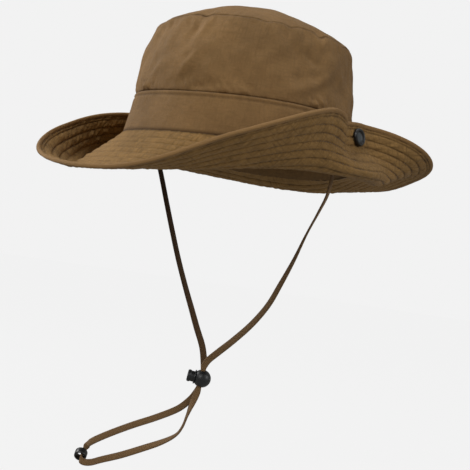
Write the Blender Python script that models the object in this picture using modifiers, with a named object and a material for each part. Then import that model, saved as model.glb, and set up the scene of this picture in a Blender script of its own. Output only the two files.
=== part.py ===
"""Jungle hat with a quilted brim snapped up at both sides and a chin cord.

The hat's front looks along -Y and the wearer's left side is +X. The origin is
the middle of the head opening, level with the seam of crown and brim. An
azimuth is counted in degrees from the front, positive towards the wearer's left.
"""
from bisect import bisect_right
from math import cos, exp, pi, radians, sin, tan

import bmesh
import bpy
from mathutils import Matrix, Vector

# Crown, outer sizes in metres: an oval at each of its three seams
BASE_LENGTH = 0.2034
BASE_WIDTH = 0.1728
BAND_LENGTH = 0.1908
BAND_WIDTH = 0.1628
TOP_LENGTH = 0.1561
TOP_WIDTH = 0.1514
BAND_HEIGHT = 0.0306
CROWN_HEIGHT = 0.0890
DOME_RISE = 0.0235
BASE_SWAY = 0.0018
BAND_SWAY = 0.0022
TOP_SWAY = 0.0012
TOP_TILT = 0.0018
TOP_LEAN = 0.0007
SHOULDER_ROUNDNESS = 2.7
DOME_ROUNDNESS = 0.98
CLOTH = 0.0015

# Brim, measured along its cloth from the crown's seam to the outer edge
BRIM_WIDTH = 0.0767
BRIM_CLOTH = 0.0028
BINDING_WIDTH = 0.0034
BINDING_THICKNESS = 0.0034
BEND_SHARE = 0.149

# Snaps that hold the brim's sides against the crown
SNAP_AZIMUTH = 101.0
SNAP_DISTANCE = 0.0640
SNAP_DIAMETER = 0.0140
SNAP_HEIGHT = 0.0030
STUD_DIAMETER = 0.0060
SEAT_ANGLE = 4.8
SEAT_TURN = 20.0
PINCH_FRONT_LEFT = 30.9
PINCH_FRONT_RIGHT = 4.6
PINCH_BACK = 12.4
PINCH_START = 0.38
PINCH_END = 0.73
STAND_OFF = 0.0046

# Chin cord, its sliding lock and the ring at the end of its loop
CORD_DIAMETER = 0.0028
LOCK_DIAMETER = 0.0140
LOCK_TURN = 30.0
LOCK_TILT = 6.0
PLUNGER_DIAMETER = 0.0084
BUTTON_DIAMETER = 0.0094
BUTTON_HEIGHT = 0.0028
BUTTON_REACH = 0.0118
BUTTON_TRAVEL = 0.0020
HOLE_OFFSET = 0.0008
RING_DIAMETER = 0.0098
RING_BORE = 0.0066
RING_LENGTH = 0.0056

# Clearances
GAP = 0.0003
CORD_CLEARANCE = 0.0004

# The brim's fall and rise. drop and rise are the cloth's slopes in degrees at
# the seam and at the edge; bend is where it turns, as a share of its width.
BRIM_STATIONS = (
    # azimuth, drop, rise, bend
    (-145, -24.5, 49.6, 0.327),
    (-115, -18.5, 90.3, 0.433),
    (-85, -22.5, 113.6, 0.512),
    (-60, -40.2, 69.4, 0.580),
    (-30, -42.3, 13.8, 0.649),
    (0, -40.5, -8.5, 0.612),
    (30, -50.1, 27.6, 0.420),
    (60, -50.3, 56.5, 0.317),
    (85, -30.9, 63.4, 0.390),
    (115, -30.2, 57.7, 0.323),
    (145, 7.5, 8.4, 0.435),
    (180, -37.3, 19.4, 0.244),
)

# Soft dents in the crown's side. height counts from the band's seam (0) to the
# top seam (1), spread is the dent's half width in degrees and tall its half
# height on the same count; depth is a share of the crown's height.
CROWN_DENTS = (
    # azimuth, height, spread, tall, depth
    (2, 0.80, 9, 0.20, 0.018),
    (8, 0.18, 8, 0.16, 0.012),
    (-24, 0.45, 7, 0.25, 0.014),
    (62, 0.55, 11, 0.22, 0.016),
    (88, 0.40, 9, 0.24, 0.022),
    (108, 0.74, 10, 0.20, 0.020),
    (150, 0.50, 13, 0.28, 0.020),
    (-165, 0.35, 12, 0.25, 0.016),
    (-120, 0.62, 12, 0.25, 0.020),
    (-70, 0.40, 10, 0.24, 0.018),
)

# Route of the chin cord in millimetres: from inside the crown's left seam down
# to the lock, round the loop through the ring, back through the lock and up
CORD_ROUTE = (
    (82.5, 0.0, 6.0), (82.5, 0.0, -4.0), (82.6, 0.0, -15.0), (80.8, 0.0, -27.0),
    (76.0, 0.0, -39.5), (68.4, 0.0, -57.5), (61.0, 0.0, -78.0), (52.6, 0.0, -97.8),
    (44.8, 0.0, -114.5), (33.5, -0.2, -130.5), (20.0, -0.5, -145.0), (8.0, -0.9, -156.5),
    (0.6, -1.2, -163.8), (-2.6, -1.25, -169.0), (-3.1, -1.3, -172.8), (-3.75, -1.66, -179.3),
    (-4.45, -2.05, -186.6), (-5.6, -2.5, -193.0), (-8.0, -3.4, -201.5), (-9.8, -4.6, -210.0),
    (-11.6, -6.0, -218.6), (-15.2, -8.2, -225.6), (-23.4, -13.0, -232.2), (-35.2, -19.6, -239.0),
    (-49.6, -28.0, -246.8), (-61.4, -36.2, -252.2), (-67.4, -42.0, -255.2), (-71.6, -45.4, -255.5),
    (-74.6, -45.9, -254.0), (-76.4, -42.4, -251.2), (-78.4, -38.2, -248.3), (-77.8, -35.7, -244.6),
    (-73.0, -36.0, -240.2), (-62.0, -31.2, -232.6), (-47.0, -23.6, -223.4), (-31.4, -14.6, -214.6),
    (-18.2, -6.4, -205.8), (-11.2, -2.0, -197.8), (-7.6, -0.2, -191.6), (-5.95, 0.5, -186.6),
    (-5.25, 0.85, -179.3), (-4.55, 1.2, -172.6), (-5.0, 1.0, -166.0), (-8.2, 0.6, -154.5),
    (-15.4, 0.2, -141.0), (-22.6, 0.0, -127.0), (-31.6, 0.0, -110.0), (-42.0, 0.0, -89.0),
    (-52.0, 0.0, -66.5), (-61.6, 0.0, -44.0), (-70.4, 0.0, -23.0), (-77.0, 0.0, -8.5),
    (-81.8, 0.0, -0.5), (-82.5, 0.0, 6.0),
)
LOCK_PLACE = Vector((-0.0038, 0.0, -0.1793))
RING_PLACE = Vector((-0.0774, -0.0429, -0.2509))
RING_AXIS = Vector((0.37, -0.72, -0.53))

# How finely the cloth is faceted
CROWN_STEP = 6
BRIM_STEP = 6
SNAP_STEP = 3
BRIM_RINGS = 12
MEASURE_STEPS = 60


def new_collection(name):
    collection = bpy.data.collections.new(name)
    bpy.context.scene.collection.children.link(collection)
    return collection


def material(name, colour, roughness):
    made = bpy.data.materials.new(name)
    made.use_nodes = True
    shader = made.node_tree.nodes["Principled BSDF"]
    shader.inputs["Base Color"].default_value = (*colour, 1.0)
    shader.inputs["Roughness"].default_value = roughness
    shader.inputs["Metallic"].default_value = 0.0
    return made


def add_object(name, mesh, collection, finish=None):
    made = bpy.data.objects.new(name, mesh)
    collection.objects.link(made)
    if finish:
        mesh.materials.append(finish)
    return made


def mesh_from(name, bm):
    mesh = bpy.data.meshes.new(name)
    bm.to_mesh(mesh)
    bm.free()
    return mesh


def loft(name, rings, wrap):
    """Skin a list of closed rings. With wrap the last ring meets the first;
    without it both end rings shrink to the middle point of each."""
    bm = bmesh.new()
    rows = [[bm.verts.new(point) for point in ring] for ring in rings]
    count = len(rows[0])
    pairs = list(zip(rows, rows[1:])) + ([(rows[-1], rows[0])] if wrap else [])
    for lower, upper in pairs:
        for i in range(count):
            j = (i + 1) % count
            bm.faces.new((lower[i], lower[j], upper[j], upper[i]))
    if not wrap:
        for row in (rows[0], rows[-1]):
            bmesh.ops.pointmerge(bm, verts=row, merge_co=sum((v.co for v in row), Vector()) / count)
    bmesh.ops.recalc_face_normals(bm, faces=bm.faces)
    mesh = mesh_from(name, bm)
    mesh.shade_smooth()
    mesh.set_sharp_from_angle(angle=radians(40))
    return mesh


def turned(name, profile, steps, collection, finish, matrix):
    """A profile of (radius, height) pairs, run down its outer side, turned about Z."""
    bm = bmesh.new()
    points = [bm.verts.new((radius, 0.0, height)) for radius, height in profile]
    for first, second in zip(points, points[1:]):
        bm.edges.new((first, second))
    made = add_object(name, mesh_from(name, bm), collection, finish)
    screw = made.modifiers.new("Turn", "SCREW")
    screw.axis = "Z"
    screw.angle = 2 * pi
    screw.steps = screw.render_steps = steps
    screw.use_merge_vertices = True
    screw.merge_threshold = 0.00001
    screw.use_smooth_shade = True
    made.matrix_world = matrix
    return made


def cutter(name, bm, matrix):
    made = add_object(name, mesh_from(name, bm), cutters)
    made.matrix_world = matrix
    made.hide_render = True
    made.display_type = "WIRE"
    return made


def cut(target, tool):
    boolean = target.modifiers.new(tool.name, "BOOLEAN")
    boolean.operation = "DIFFERENCE"
    boolean.solver = "EXACT"
    boolean.object = tool


def smooth(share):
    share = min(max(share, 0.0), 1.0)
    return share * share * (3 - 2 * share)


def catmull(before, first, second, after, t):
    """Smooth value between first and second; each is (place, value)."""
    span = second[0] - first[0]
    leave = (second[1] - before[1]) / (second[0] - before[0]) * span
    arrive = (after[1] - first[1]) / (after[0] - first[0]) * span
    return ((2 * t**3 - 3 * t**2 + 1) * first[1] + (t**3 - 2 * t**2 + t) * leave
            + (3 * t**2 - 2 * t**3) * second[1] + (t**3 - t**2) * arrive)


def along(table, column, azimuth):
    """A column of a table of stations, read smoothly all the way round."""
    places = [row[0] for row in table]
    count = len(table)
    here = bisect_right(places, azimuth) - 1

    def entry(index):
        turns, row = divmod(index, count)
        return places[row] + 360 * turns, table[row][column]

    around = [entry(here + offset) for offset in (-1, 0, 1, 2)]
    return catmull(*around, (azimuth - around[1][0]) / (around[2][0] - around[1][0]))


def oval(length, width, azimuth):
    angle = radians(azimuth)
    return Vector((width / 2 * sin(angle), -length / 2 * cos(angle), 0.0))


def outward(azimuth):
    """Level direction square to the crown's base oval."""
    angle = radians(azimuth)
    return Vector((sin(angle) / BASE_WIDTH, -cos(angle) / BASE_LENGTH, 0.0)).normalized()


def seam_heights(azimuth):
    """Heights of the base, band and top seams at an azimuth."""
    angle = radians(azimuth)
    return (-BASE_SWAY * cos(2 * angle),
            BAND_HEIGHT - BAND_SWAY * cos(2 * angle),
            CROWN_HEIGHT + TOP_SWAY * cos(2 * angle) - TOP_TILT * cos(angle) + TOP_LEAN * sin(angle))


def dent_depth(azimuth, height):
    depth = 0.0
    for middle, level, spread, tall, share in CROWN_DENTS:
        turn = (azimuth - middle + 180) % 360 - 180
        depth += share * CROWN_HEIGHT * exp(-(turn / spread) ** 2 - ((height - level) / tall) ** 2)
    return depth * sin(pi * height) ** 0.5


def crown_point(azimuth, level, inner=False):
    """A point of the crown. level runs 0 to 1 up the band, 1 to 2 up the side
    and 2 to 3 from the top seam to the middle of the top panel."""
    base, band, top = seam_heights(azimuth)
    side = outward(azimuth)
    lean = 0.0
    if level <= 1:
        place = oval(BASE_LENGTH, BASE_WIDTH, azimuth).lerp(oval(BAND_LENGTH, BAND_WIDTH, azimuth), level)
        place.z = base + (band - base) * level
    elif level <= 2:
        rise = level - 1
        share = rise ** SHOULDER_ROUNDNESS
        place = oval(BAND_LENGTH, BAND_WIDTH, azimuth).lerp(oval(TOP_LENGTH, TOP_WIDTH, azimuth), share)
        place.z = band + (top - band) * rise
        place -= side * dent_depth(azimuth, rise)
        lean = pi / 4 * rise
    else:
        share = 3 - level
        place = oval(TOP_LENGTH, TOP_WIDTH, azimuth) * share
        place.z = CROWN_HEIGHT + (top - CROWN_HEIGHT) * share
        place.z += DOME_RISE * max(0.0, 1 - share**2) ** DOME_ROUNDNESS
        lean = pi / 4 * (1 + min(1.0, (1 - share) * 2))
    if inner:
        place -= (side * cos(lean) + Vector((0, 0, sin(lean)))) * CLOTH
    return place


def crown_skins(levels):
    """Rings of the crown's outer skin up the levels, and of its inner skin back down."""
    azimuths = range(-180, 180, CROWN_STEP)
    outside = [[crown_point(azimuth, level) for azimuth in azimuths] for level in levels]
    inside = [[crown_point(azimuth, level, True) for azimuth in azimuths] for level in reversed(levels)]
    return outside, inside


def crown_wall(name, levels, finish):
    """A panel that runs all round, with an outer and an inner skin joined at both rims."""
    outside, inside = crown_skins(levels)
    return add_object(name, loft(name, outside + inside, True), parts, finish)


def crown_cap(name, levels, finish):
    """The top panel: an outer and an inner skin that both run to the middle."""
    outside, inside = crown_skins(levels)
    return add_object(name, loft(name, inside + outside, False), parts, finish)


def pinch_at(azimuth):
    """How firmly the nearest snap holds the brim at an azimuth, from 0 to 1, and
    how far its flat seat, which turns away from the crown, stands off there."""
    behind = abs(azimuth) - SNAP_AZIMUTH
    front = PINCH_FRONT_LEFT if azimuth > 0 else PINCH_FRONT_RIGHT
    past = (behind + SEAT_ANGLE) / front if behind < 0 else (behind - SEAT_ANGLE) / PINCH_BACK
    held = exp(-past**2) if abs(behind) > SEAT_ANGLE else 1.0
    across = min(max(behind + SEAT_ANGLE, 0.0), 2 * SEAT_ANGLE)
    return held, radians(across) * BASE_WIDTH / 2 * tan(radians(SEAT_TURN))


def brim_line(azimuth):
    """Middle of the brim's cloth as (distance, place) rows, from the seam to the edge."""
    drop, rise, bend = (radians(along(BRIM_STATIONS, 1, azimuth)),
                        radians(along(BRIM_STATIONS, 2, azimuth)),
                        along(BRIM_STATIONS, 3, azimuth))
    side = outward(azimuth)
    seam = oval(BASE_LENGTH, BASE_WIDTH, azimuth)
    band_top = oval(BAND_LENGTH, BAND_WIDTH, azimuth)
    lean = (seam - band_top).dot(side) / BAND_HEIGHT
    reach = BRIM_CLOTH / 2 * sin(drop) - GAP
    height = seam_heights(azimuth)[0] - GAP - BRIM_CLOTH / 2 * cos(drop)
    held, seat = pinch_at(azimuth)
    rows = []
    step = BRIM_WIDTH / MEASURE_STEPS
    for i in range(MEASURE_STEPS + 1):
        share = i / MEASURE_STEPS
        slope = drop + (rise - drop) * smooth((share - bend + BEND_SHARE) / (2 * BEND_SHARE))
        if i:
            reach += cos(slope) * step
            height += sin(slope) * step
        against = STAND_OFF + seat - lean * min(height, BAND_HEIGHT)
        pinch = held * smooth((share - PINCH_START) / (PINCH_END - PINCH_START))
        place = seam + side * (reach * (1 - pinch) + against * pinch) + Vector((0, 0, height))
        rows.append((share * BRIM_WIDTH, place))
    return rows


def on_brim(azimuth, distance):
    """Place and slope direction of the brim's cloth at a distance from the seam."""
    rows = brim_line(azimuth)
    index = min(int(distance / BRIM_WIDTH * MEASURE_STEPS), MEASURE_STEPS - 1)
    first, second = rows[index], rows[index + 1]
    share = (distance - first[0]) / (second[0] - first[0])
    return first[1].lerp(second[1], share), (second[1] - first[1]).normalized()


def brim_azimuths():
    """Azimuths round the brim, closer together where the snaps pinch it, with
    one at each edge of their flat seats."""
    chosen = set(range(-180, 180, BRIM_STEP))
    for sign in (-1, 1):
        front = SNAP_AZIMUTH - SEAT_ANGLE
        back = SNAP_AZIMUTH + SEAT_ANGLE
        near = [SNAP_AZIMUTH]
        near += [front - SNAP_STEP * i for i in range(4)]
        near += [back + SNAP_STEP * i for i in range(5)]
        low, high = min(near) - SNAP_STEP / 2, max(near) + SNAP_STEP / 2
        chosen = {azimuth for azimuth in chosen if not low < sign * azimuth < high}
        chosen |= {sign * azimuth for azimuth in near}
    return sorted(chosen)


def brim_cloth(finish):
    """The quilted brim, an open sheet given its thickness on both sides."""
    last = BRIM_WIDTH - BINDING_WIDTH - GAP
    rings = [[on_brim(azimuth, last * i / BRIM_RINGS)[0] for azimuth in brim_azimuths()]
             for i in range(BRIM_RINGS + 1)]
    bm = bmesh.new()
    rows = [[bm.verts.new(point) for point in ring] for ring in rings]
    count = len(rows[0])
    for inner, outer in zip(rows, rows[1:]):
        for i in range(count):
            j = (i + 1) % count
            bm.faces.new((inner[i], inner[j], outer[j], outer[i]))
    mesh = mesh_from("brim", bm)
    mesh.shade_smooth()
    made = add_object("brim", mesh, parts, finish)
    solid = made.modifiers.new("Cloth", "SOLIDIFY")
    solid.thickness = BRIM_CLOTH
    solid.offset = 0.0
    solid.use_even_offset = True
    return made


def binding(finish):
    """The rolled tape round the brim's edge, an eight-sided section."""
    section = [(BINDING_WIDTH / 2 * (1 + x) + GAP, BINDING_THICKNESS / 2 * y)
               for x, y in ((1, 0.45), (0.5, 1), (-0.5, 1), (-1, 0.6), (-1, -0.6), (-0.5, -1), (0.5, -1), (1, -0.45))]
    rings = []
    azimuths = brim_azimuths()
    hems = [on_brim(azimuth, BRIM_WIDTH - BINDING_WIDTH - GAP) for azimuth in azimuths]
    for i in range(len(azimuths)):
        place, run = hems[i]
        tangent = hems[(i + 1) % len(azimuths)][0] - hems[i - 1][0]
        face = tangent.cross(run).normalized()
        run = face.cross(tangent).normalized()
        rings.append([place + run * x + face * y for x, y in section])
    return add_object("edge_binding", loft("edge_binding", rings, True), parts, finish)


def snap_frame(sign):
    """Matrix whose Z points out of the brim's cloth at a snap, away from the crown."""
    azimuth = sign * SNAP_AZIMUTH
    place, run = on_brim(azimuth, SNAP_DISTANCE)
    before = on_brim(azimuth - SNAP_STEP, SNAP_DISTANCE)[0]
    after = on_brim(azimuth + SNAP_STEP, SNAP_DISTANCE)[0]
    face = (after - before).cross(run).normalized()
    if face.dot(outward(azimuth)) < 0:
        face.negate()
    across = face.cross(run).normalized()
    rotation = Matrix((across, face.cross(across), face)).transposed().to_4x4()
    return Matrix.Translation(place) @ rotation


def snap(side, sign, cap_finish, stud_finish):
    """The dished cap outside the brim and the plain post between brim and crown."""
    frame = snap_frame(sign)
    radius = SNAP_DIAMETER / 2
    high = SNAP_HEIGHT
    profile = ((0, 0.45 * high), (0.62 * radius, 0.5 * high), (0.72 * radius, 0.92 * high),
               (0.86 * radius, high), (0.97 * radius, 0.7 * high), (radius, 0.35 * high), (radius, 0), (0, 0))
    seat = Matrix.Translation((0, 0, BRIM_CLOTH / 2 + 2 * GAP))
    turned(f"snap_cap_{side}", profile, 16, parts, cap_finish, frame @ seat)
    half = STUD_DIAMETER / 2
    length = STAND_OFF + pinch_at(SNAP_AZIMUTH)[1] - BRIM_CLOTH / 2 - 4 * GAP - half * tan(radians(SEAT_TURN))
    post = ((0, length), (half, length), (half, 0), (0, 0))
    below = Matrix.Translation((0, 0, -BRIM_CLOTH / 2 - 2 * GAP - length))
    turned(f"snap_stud_{side}", post, 12, parts, stud_finish, frame @ below)


def cord_points():
    """Points read from a smooth curve through the route, closer where it turns."""
    route = [Vector(point) / 1000 for point in CORD_ROUTE]
    route = [2 * route[0] - route[1]] + route + [2 * route[-1] - route[-2]]
    fine = []
    for before, first, second, after in zip(route, route[1:], route[2:], route[3:]):
        for i in range(20):
            t = i / 20
            fine.append(0.5 * (2 * first + (second - before) * t
                               + (2 * before - 5 * first + 4 * second - after) * t**2
                               + (3 * first - before - 3 * second + after) * t**3))
    fine.append(route[-2])
    chosen = [fine[0]]
    run = 0.0
    turn = 0.0
    for before, here, after in zip(fine, fine[1:], fine[2:]):
        run += (here - before).length
        turn += (here - before).angle(after - here, 0.0)
        if run > 3 * CORD_DIAMETER or turn > radians(22) and run > CORD_DIAMETER:
            chosen.append(here)
            run = turn = 0.0
    if (chosen[-1] - fine[-1]).length < CORD_DIAMETER:
        chosen.pop()
    return chosen + [fine[-1]]


def chin_cord(finish):
    curve = bpy.data.curves.new("chin_cord", "CURVE")
    curve.dimensions = "3D"
    curve.bevel_depth = CORD_DIAMETER / 2
    curve.bevel_resolution = 2
    curve.use_fill_caps = True
    points = cord_points()
    spline = curve.splines.new("POLY")
    spline.points.add(len(points) - 1)
    for slot, place in zip(spline.points, points):
        slot.co = (*place, 1.0)
    curve.materials.append(finish)
    made = bpy.data.objects.new("chin_cord", curve)
    parts.objects.link(made)
    return made


def lock_frame():
    """The lock's own axes: X runs into the button, Z up the cord's holes."""
    return (Matrix.Translation(LOCK_PLACE) @ Matrix.Rotation(radians(LOCK_TURN), 4, "Z")
            @ Matrix.Rotation(radians(LOCK_TILT), 4, "Y"))


def box(low, high):
    bm = bmesh.new()
    bmesh.ops.create_cube(bm, size=1.0)
    size = Vector(high) - Vector(low)
    middle = (Vector(high) + Vector(low)) / 2
    bmesh.ops.transform(bm, matrix=Matrix.Translation(middle) @ Matrix.Diagonal((*size, 1.0)), verts=bm.verts)
    return bm


def lock_body(finish):
    """The lock's ball, bored for the plunger and slotted for two runs of cord."""
    frame = lock_frame()
    radius = LOCK_DIAMETER / 2
    bm = bmesh.new()
    bmesh.ops.create_uvsphere(bm, u_segments=20, v_segments=12, radius=radius)
    mesh = mesh_from("lock_body", bm)
    mesh.shade_smooth()
    body = add_object("lock_body", mesh, parts, finish)
    body.matrix_world = frame
    bore_end = plunger_end() + BUTTON_TRAVEL + CORD_CLEARANCE
    bore = bmesh.new()
    bore_radius = PLUNGER_DIAMETER / 2 + GAP
    bmesh.ops.create_cone(bore, cap_ends=True, segments=20, radius1=bore_radius, radius2=bore_radius,
                          depth=bore_end + 2 * radius)
    shift = Matrix.Translation((bore_end / 2 - radius, 0, 0)) @ Matrix.Rotation(pi / 2, 4, "Y")
    bmesh.ops.transform(bore, matrix=shift, verts=bore.verts)
    cut(body, cutter("cut_bore", bore, frame))
    wide, deep = slot_size()
    cut(body, cutter("cut_body_slot", box((-HOLE_OFFSET - wide, -deep, -2 * radius),
                                          (-HOLE_OFFSET + wide, deep, 2 * radius)), frame))
    return body


def slot_size():
    """Half sizes of the cord slot: along the plunger, and across two runs of cord."""
    return (CORD_DIAMETER / 2 + CORD_CLEARANCE,
            CORD_DIAMETER + GAP / 2 + CORD_CLEARANCE)


def plunger_end():
    """How far the released plunger reaches past the lock's middle."""
    return slot_size()[0] - HOLE_OFFSET + 0.0012


def lock_plunger(finish):
    """The sprung button: a flanged stem with a longer slot, free to be pushed in."""
    frame = lock_frame()
    stem = PLUNGER_DIAMETER / 2
    head = BUTTON_DIAMETER / 2
    edge = BUTTON_HEIGHT / 5
    profile = ((0, BUTTON_REACH), (head - edge, BUTTON_REACH), (head, BUTTON_REACH - edge),
               (head, BUTTON_REACH - BUTTON_HEIGHT + edge), (head - edge, BUTTON_REACH - BUTTON_HEIGHT),
               (stem, BUTTON_REACH - BUTTON_HEIGHT), (stem, -plunger_end()), (0, -plunger_end()))
    turn = Matrix.Rotation(-pi / 2, 4, "Y")
    plunger = turned("lock_plunger", profile, 20, parts, finish, frame @ turn)
    wide, deep = slot_size()
    slot = box((-HOLE_OFFSET - wide - BUTTON_TRAVEL, -deep, -LOCK_DIAMETER), (-HOLE_OFFSET + wide, deep, LOCK_DIAMETER))
    cut(plunger, cutter("cut_plunger_slot", slot, frame))
    return plunger


def loop_ring(finish):
    """The short tube at the loop's end, with rounded lips."""
    outer = RING_DIAMETER / 2
    bore = RING_BORE / 2
    half = RING_LENGTH / 2
    lip = (outer - bore) / 3
    profile = ((bore + lip, half), (outer - lip, half), (outer, half - lip), (outer, lip - half),
               (outer - lip, -half), (bore + lip, -half), (bore, lip - half), (bore, half - lip), (bore + lip, half))
    aim = RING_AXIS.to_track_quat("Z", "Y").to_matrix().to_4x4()
    return turned("loop_ring", profile, 16, parts, finish, Matrix.Translation(RING_PLACE) @ aim)


for leftover in list(bpy.data.objects):
    bpy.data.objects.remove(leftover)
parts = new_collection("jungle_hat")
cutters = new_collection("cutters")

crown_cloth = material("crown_cloth", (0.150, 0.089, 0.044), 0.85)
brim_finish = material("brim_cloth", (0.165, 0.098, 0.047), 0.88)
tape = material("binding_tape", (0.190, 0.118, 0.062), 0.8)
black = material("black_plastic", (0.011, 0.013, 0.015), 0.35)
post_finish = material("grey_metal", (0.30, 0.30, 0.31), 0.4)
cord_finish = material("cord_braid", (0.090, 0.052, 0.024), 0.75)

# A seam's gap as a share of the panel that starts or ends there
band_gap = GAP / 2 / BAND_HEIGHT
side_gap = GAP / 2 / (CROWN_HEIGHT - BAND_HEIGHT)
top_gap = GAP / TOP_WIDTH

crown_wall("crown_band", [0.0, 0.5, 1.0 - band_gap], crown_cloth.copy())
crown_wall("crown_side", [1.0 + side_gap, 1.15, 1.3, 1.45, 1.6, 1.74, 1.86, 1.94, 2.0 - side_gap], crown_cloth.copy())
crown_cap("crown_top", [2.0 + top_gap, 2.12, 2.28, 2.48, 2.72, 2.92], crown_cloth.copy())
brim_cloth(brim_finish)
binding(tape)
for side, sign in (("left", 1), ("right", -1)):
    snap(side, sign, black.copy(), post_finish.copy())
chin_cord(cord_finish)
lock_body(black.copy())
lock_plunger(black.copy())
loop_ring(black.copy())
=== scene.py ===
from bisect import bisect_right
from math import pi, radians

import bpy
import numpy as np
from mathutils import Matrix, Quaternion, Vector, noise


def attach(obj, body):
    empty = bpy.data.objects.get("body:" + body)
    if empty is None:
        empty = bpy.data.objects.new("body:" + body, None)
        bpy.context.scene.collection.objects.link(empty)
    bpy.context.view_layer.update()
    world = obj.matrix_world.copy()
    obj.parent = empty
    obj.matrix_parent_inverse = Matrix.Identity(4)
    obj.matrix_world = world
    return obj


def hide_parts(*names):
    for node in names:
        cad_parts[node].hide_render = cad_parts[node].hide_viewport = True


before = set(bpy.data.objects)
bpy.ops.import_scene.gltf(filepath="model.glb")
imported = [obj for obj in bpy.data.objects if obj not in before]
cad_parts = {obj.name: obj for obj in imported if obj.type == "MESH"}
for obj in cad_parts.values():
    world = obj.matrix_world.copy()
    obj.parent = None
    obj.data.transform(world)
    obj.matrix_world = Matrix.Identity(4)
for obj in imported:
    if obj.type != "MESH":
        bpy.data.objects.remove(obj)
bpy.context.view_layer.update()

# The hat's front looks along -Y and the wearer's left side is +X. Azimuths are in
# degrees from the front, positive towards the wearer's left.

# The crown's side: one strip of light brown nylon, eased into the seams above
# and below it, so that it puckers there and hangs in soft dents between them.
BASE_LENGTH = 0.2034
BASE_WIDTH = 0.1728
BAND_LENGTH = 0.1908
BAND_WIDTH = 0.1628
TOP_LENGTH = 0.1561
TOP_WIDTH = 0.1514
BAND_HEIGHT = 0.0306
CROWN_HEIGHT = 0.0890
DOME_RISE = 0.0235
BASE_SWAY = 0.0018
BAND_SWAY = 0.0022
TOP_SWAY = 0.0012
TOP_TILT = 0.0018
TOP_LEAN = 0.0007
SHOULDER_ROUNDNESS = 2.7
DOME_ROUNDNESS = 0.98
CLOTH = 0.0011
SEAM_GAP = 0.00015
SEAM_TUCK = 0.00035
SEAM_ROLL = 0.0011
SEAM_LINE = 0.0009
# How dark the painted shade at the seams gets, and its colour.
SEAM_SHADE_DARKNESS = 0.4
SEAM_SHADE_COLOUR = (0.14, 0.11, 0.09)
CROWN_RADIUS = 0.090
SIDE_HEIGHT = CROWN_HEIGHT - BAND_HEIGHT
FOLD_STRENGTH = 1.45
SIDE_AROUND = 560
SIDE_UP = 60
SIDE_LINING = 10
NOISE_GAIN = 1.6
# degrees round the crown for each metre up
GATHER_SLANT = 250.0
BAND_GATHERS = 0.0013
BAND_GATHER_REACH = 0.0036
TOP_GATHERS = 0.0010
TOP_GATHER_REACH = 0.0050
SIDE_CRINKLES = (
    # height, grain round the crown and grain up it in metres, seed
    (0.0010, 0.026, 0.022, 3.1),
    (0.00085, 0.010, 0.011, 8.7),
)
TOP_PUCKERS = (
    # azimuth, half width in degrees, drop of the seam in metres
    (2.0, 2.6, 0.0013),
    (36.0, 3.6, 0.0013),
    (49.5, 3.2, 0.0017),
    (69.0, 3.4, 0.0026),
    (92.0, 4.0, 0.0018),
    (118.0, 4.2, 0.0020),
    (141.0, 3.4, 0.0016),
    (171.0, 4.4, 0.0022),
    (-160.0, 3.6, 0.0014),
    (-128.0, 4.0, 0.0021),
    (-98.0, 3.4, 0.0017),
    (-62.0, 4.2, 0.0019),
    (-34.0, 3.2, 0.0010),
)
SIDE_FOLDS = (
    # azimuth and rise (0 at the band, 1 at the top) of both ends, half width, height in metres
    (7.5, 0.99, 4.5, 0.70, 0.0034, 0.0010),
    (1.0, 0.99, -1.0, 0.74, 0.0036, -0.0011),
    (-8.0, 0.98, -14.0, 0.62, 0.0050, 0.0008),
    (-24.0, 0.97, -34.0, 0.70, 0.0046, 0.0008),
    (5.0, 0.46, -3.0, 0.10, 0.0030, 0.0008),
    (10.0, 0.44, 4.0, 0.14, 0.0042, -0.0008),
    (-14.0, 0.36, -20.0, 0.18, 0.0036, 0.0007),
    (10.0, 0.07, 18.0, 0.09, 0.0042, -0.0014),
    (60.0, 0.70, 71.0, 0.60, 0.0030, -0.0011),
    (58.0, 0.30, 73.0, 0.50, 0.0050, -0.0012),
    (57.0, 0.14, 77.0, 0.42, 0.0046, 0.0011),
    (67.0, 0.20, 84.0, 0.44, 0.0044, -0.0011),
    (37.0, 0.98, 35.0, 0.68, 0.0050, 0.0009),
    (50.0, 0.97, 55.0, 0.86, 0.0036, 0.0009),
    (64.0, 0.84, 78.0, 0.95, 0.0042, 0.0012),
    (50.0, 0.76, 57.0, 0.66, 0.0050, -0.0009),
    (26.0, 0.30, 34.0, 0.12, 0.0050, -0.0007),
    (104.0, 0.92, 98.0, 0.50, 0.0050, -0.0012),
    (122.0, 0.80, 134.0, 0.30, 0.0055, 0.0010),
    (150.0, 0.95, 146.0, 0.55, 0.0046, -0.0011),
    (163.0, 0.25, 176.0, 0.52, 0.0050, 0.0010),
    (-172.0, 0.88, -164.0, 0.44, 0.0050, -0.0010),
    (-146.0, 0.30, -134.0, 0.66, 0.0052, 0.0011),
    (-118.0, 0.90, -122.0, 0.40, 0.0050, -0.0012),
    (-96.0, 0.14, -84.0, 0.46, 0.0046, 0.0010),
    (-66.0, 0.94, -60.0, 0.52, 0.0050, -0.0010),
    (-44.0, 0.22, -38.0, 0.58, 0.0046, 0.0009),
)
SOFT_DENTS = (
    # azimuth, rise, half width in degrees, half height as a rise, depth in metres
    (2, 0.80, 9, 0.20, 0.0016),
    (8, 0.18, 8, 0.16, 0.0011),
    (-24, 0.45, 7, 0.25, 0.0012),
    (62, 0.55, 11, 0.22, 0.0014),
    (88, 0.40, 9, 0.24, 0.0019),
    (108, 0.74, 10, 0.20, 0.0018),
    (150, 0.50, 13, 0.28, 0.0018),
    (-165, 0.35, 12, 0.25, 0.0014),
    (-120, 0.62, 12, 0.25, 0.0018),
    (-70, 0.40, 10, 0.24, 0.0016),
)


def turn_between(azimuth, middle):
    """Degrees from one azimuth to another, the short way round."""
    return (azimuth - middle + 180.0) % 360.0 - 180.0


def azimuth_at(u):
    """Azimuth of a point that lies a share u of the way round from the back."""
    return u * 360.0 - 180.0


def hill(distance, width):
    """1 at no distance and smoothly less on both sides of it."""
    return np.exp(-((distance / width) ** 2))


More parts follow.
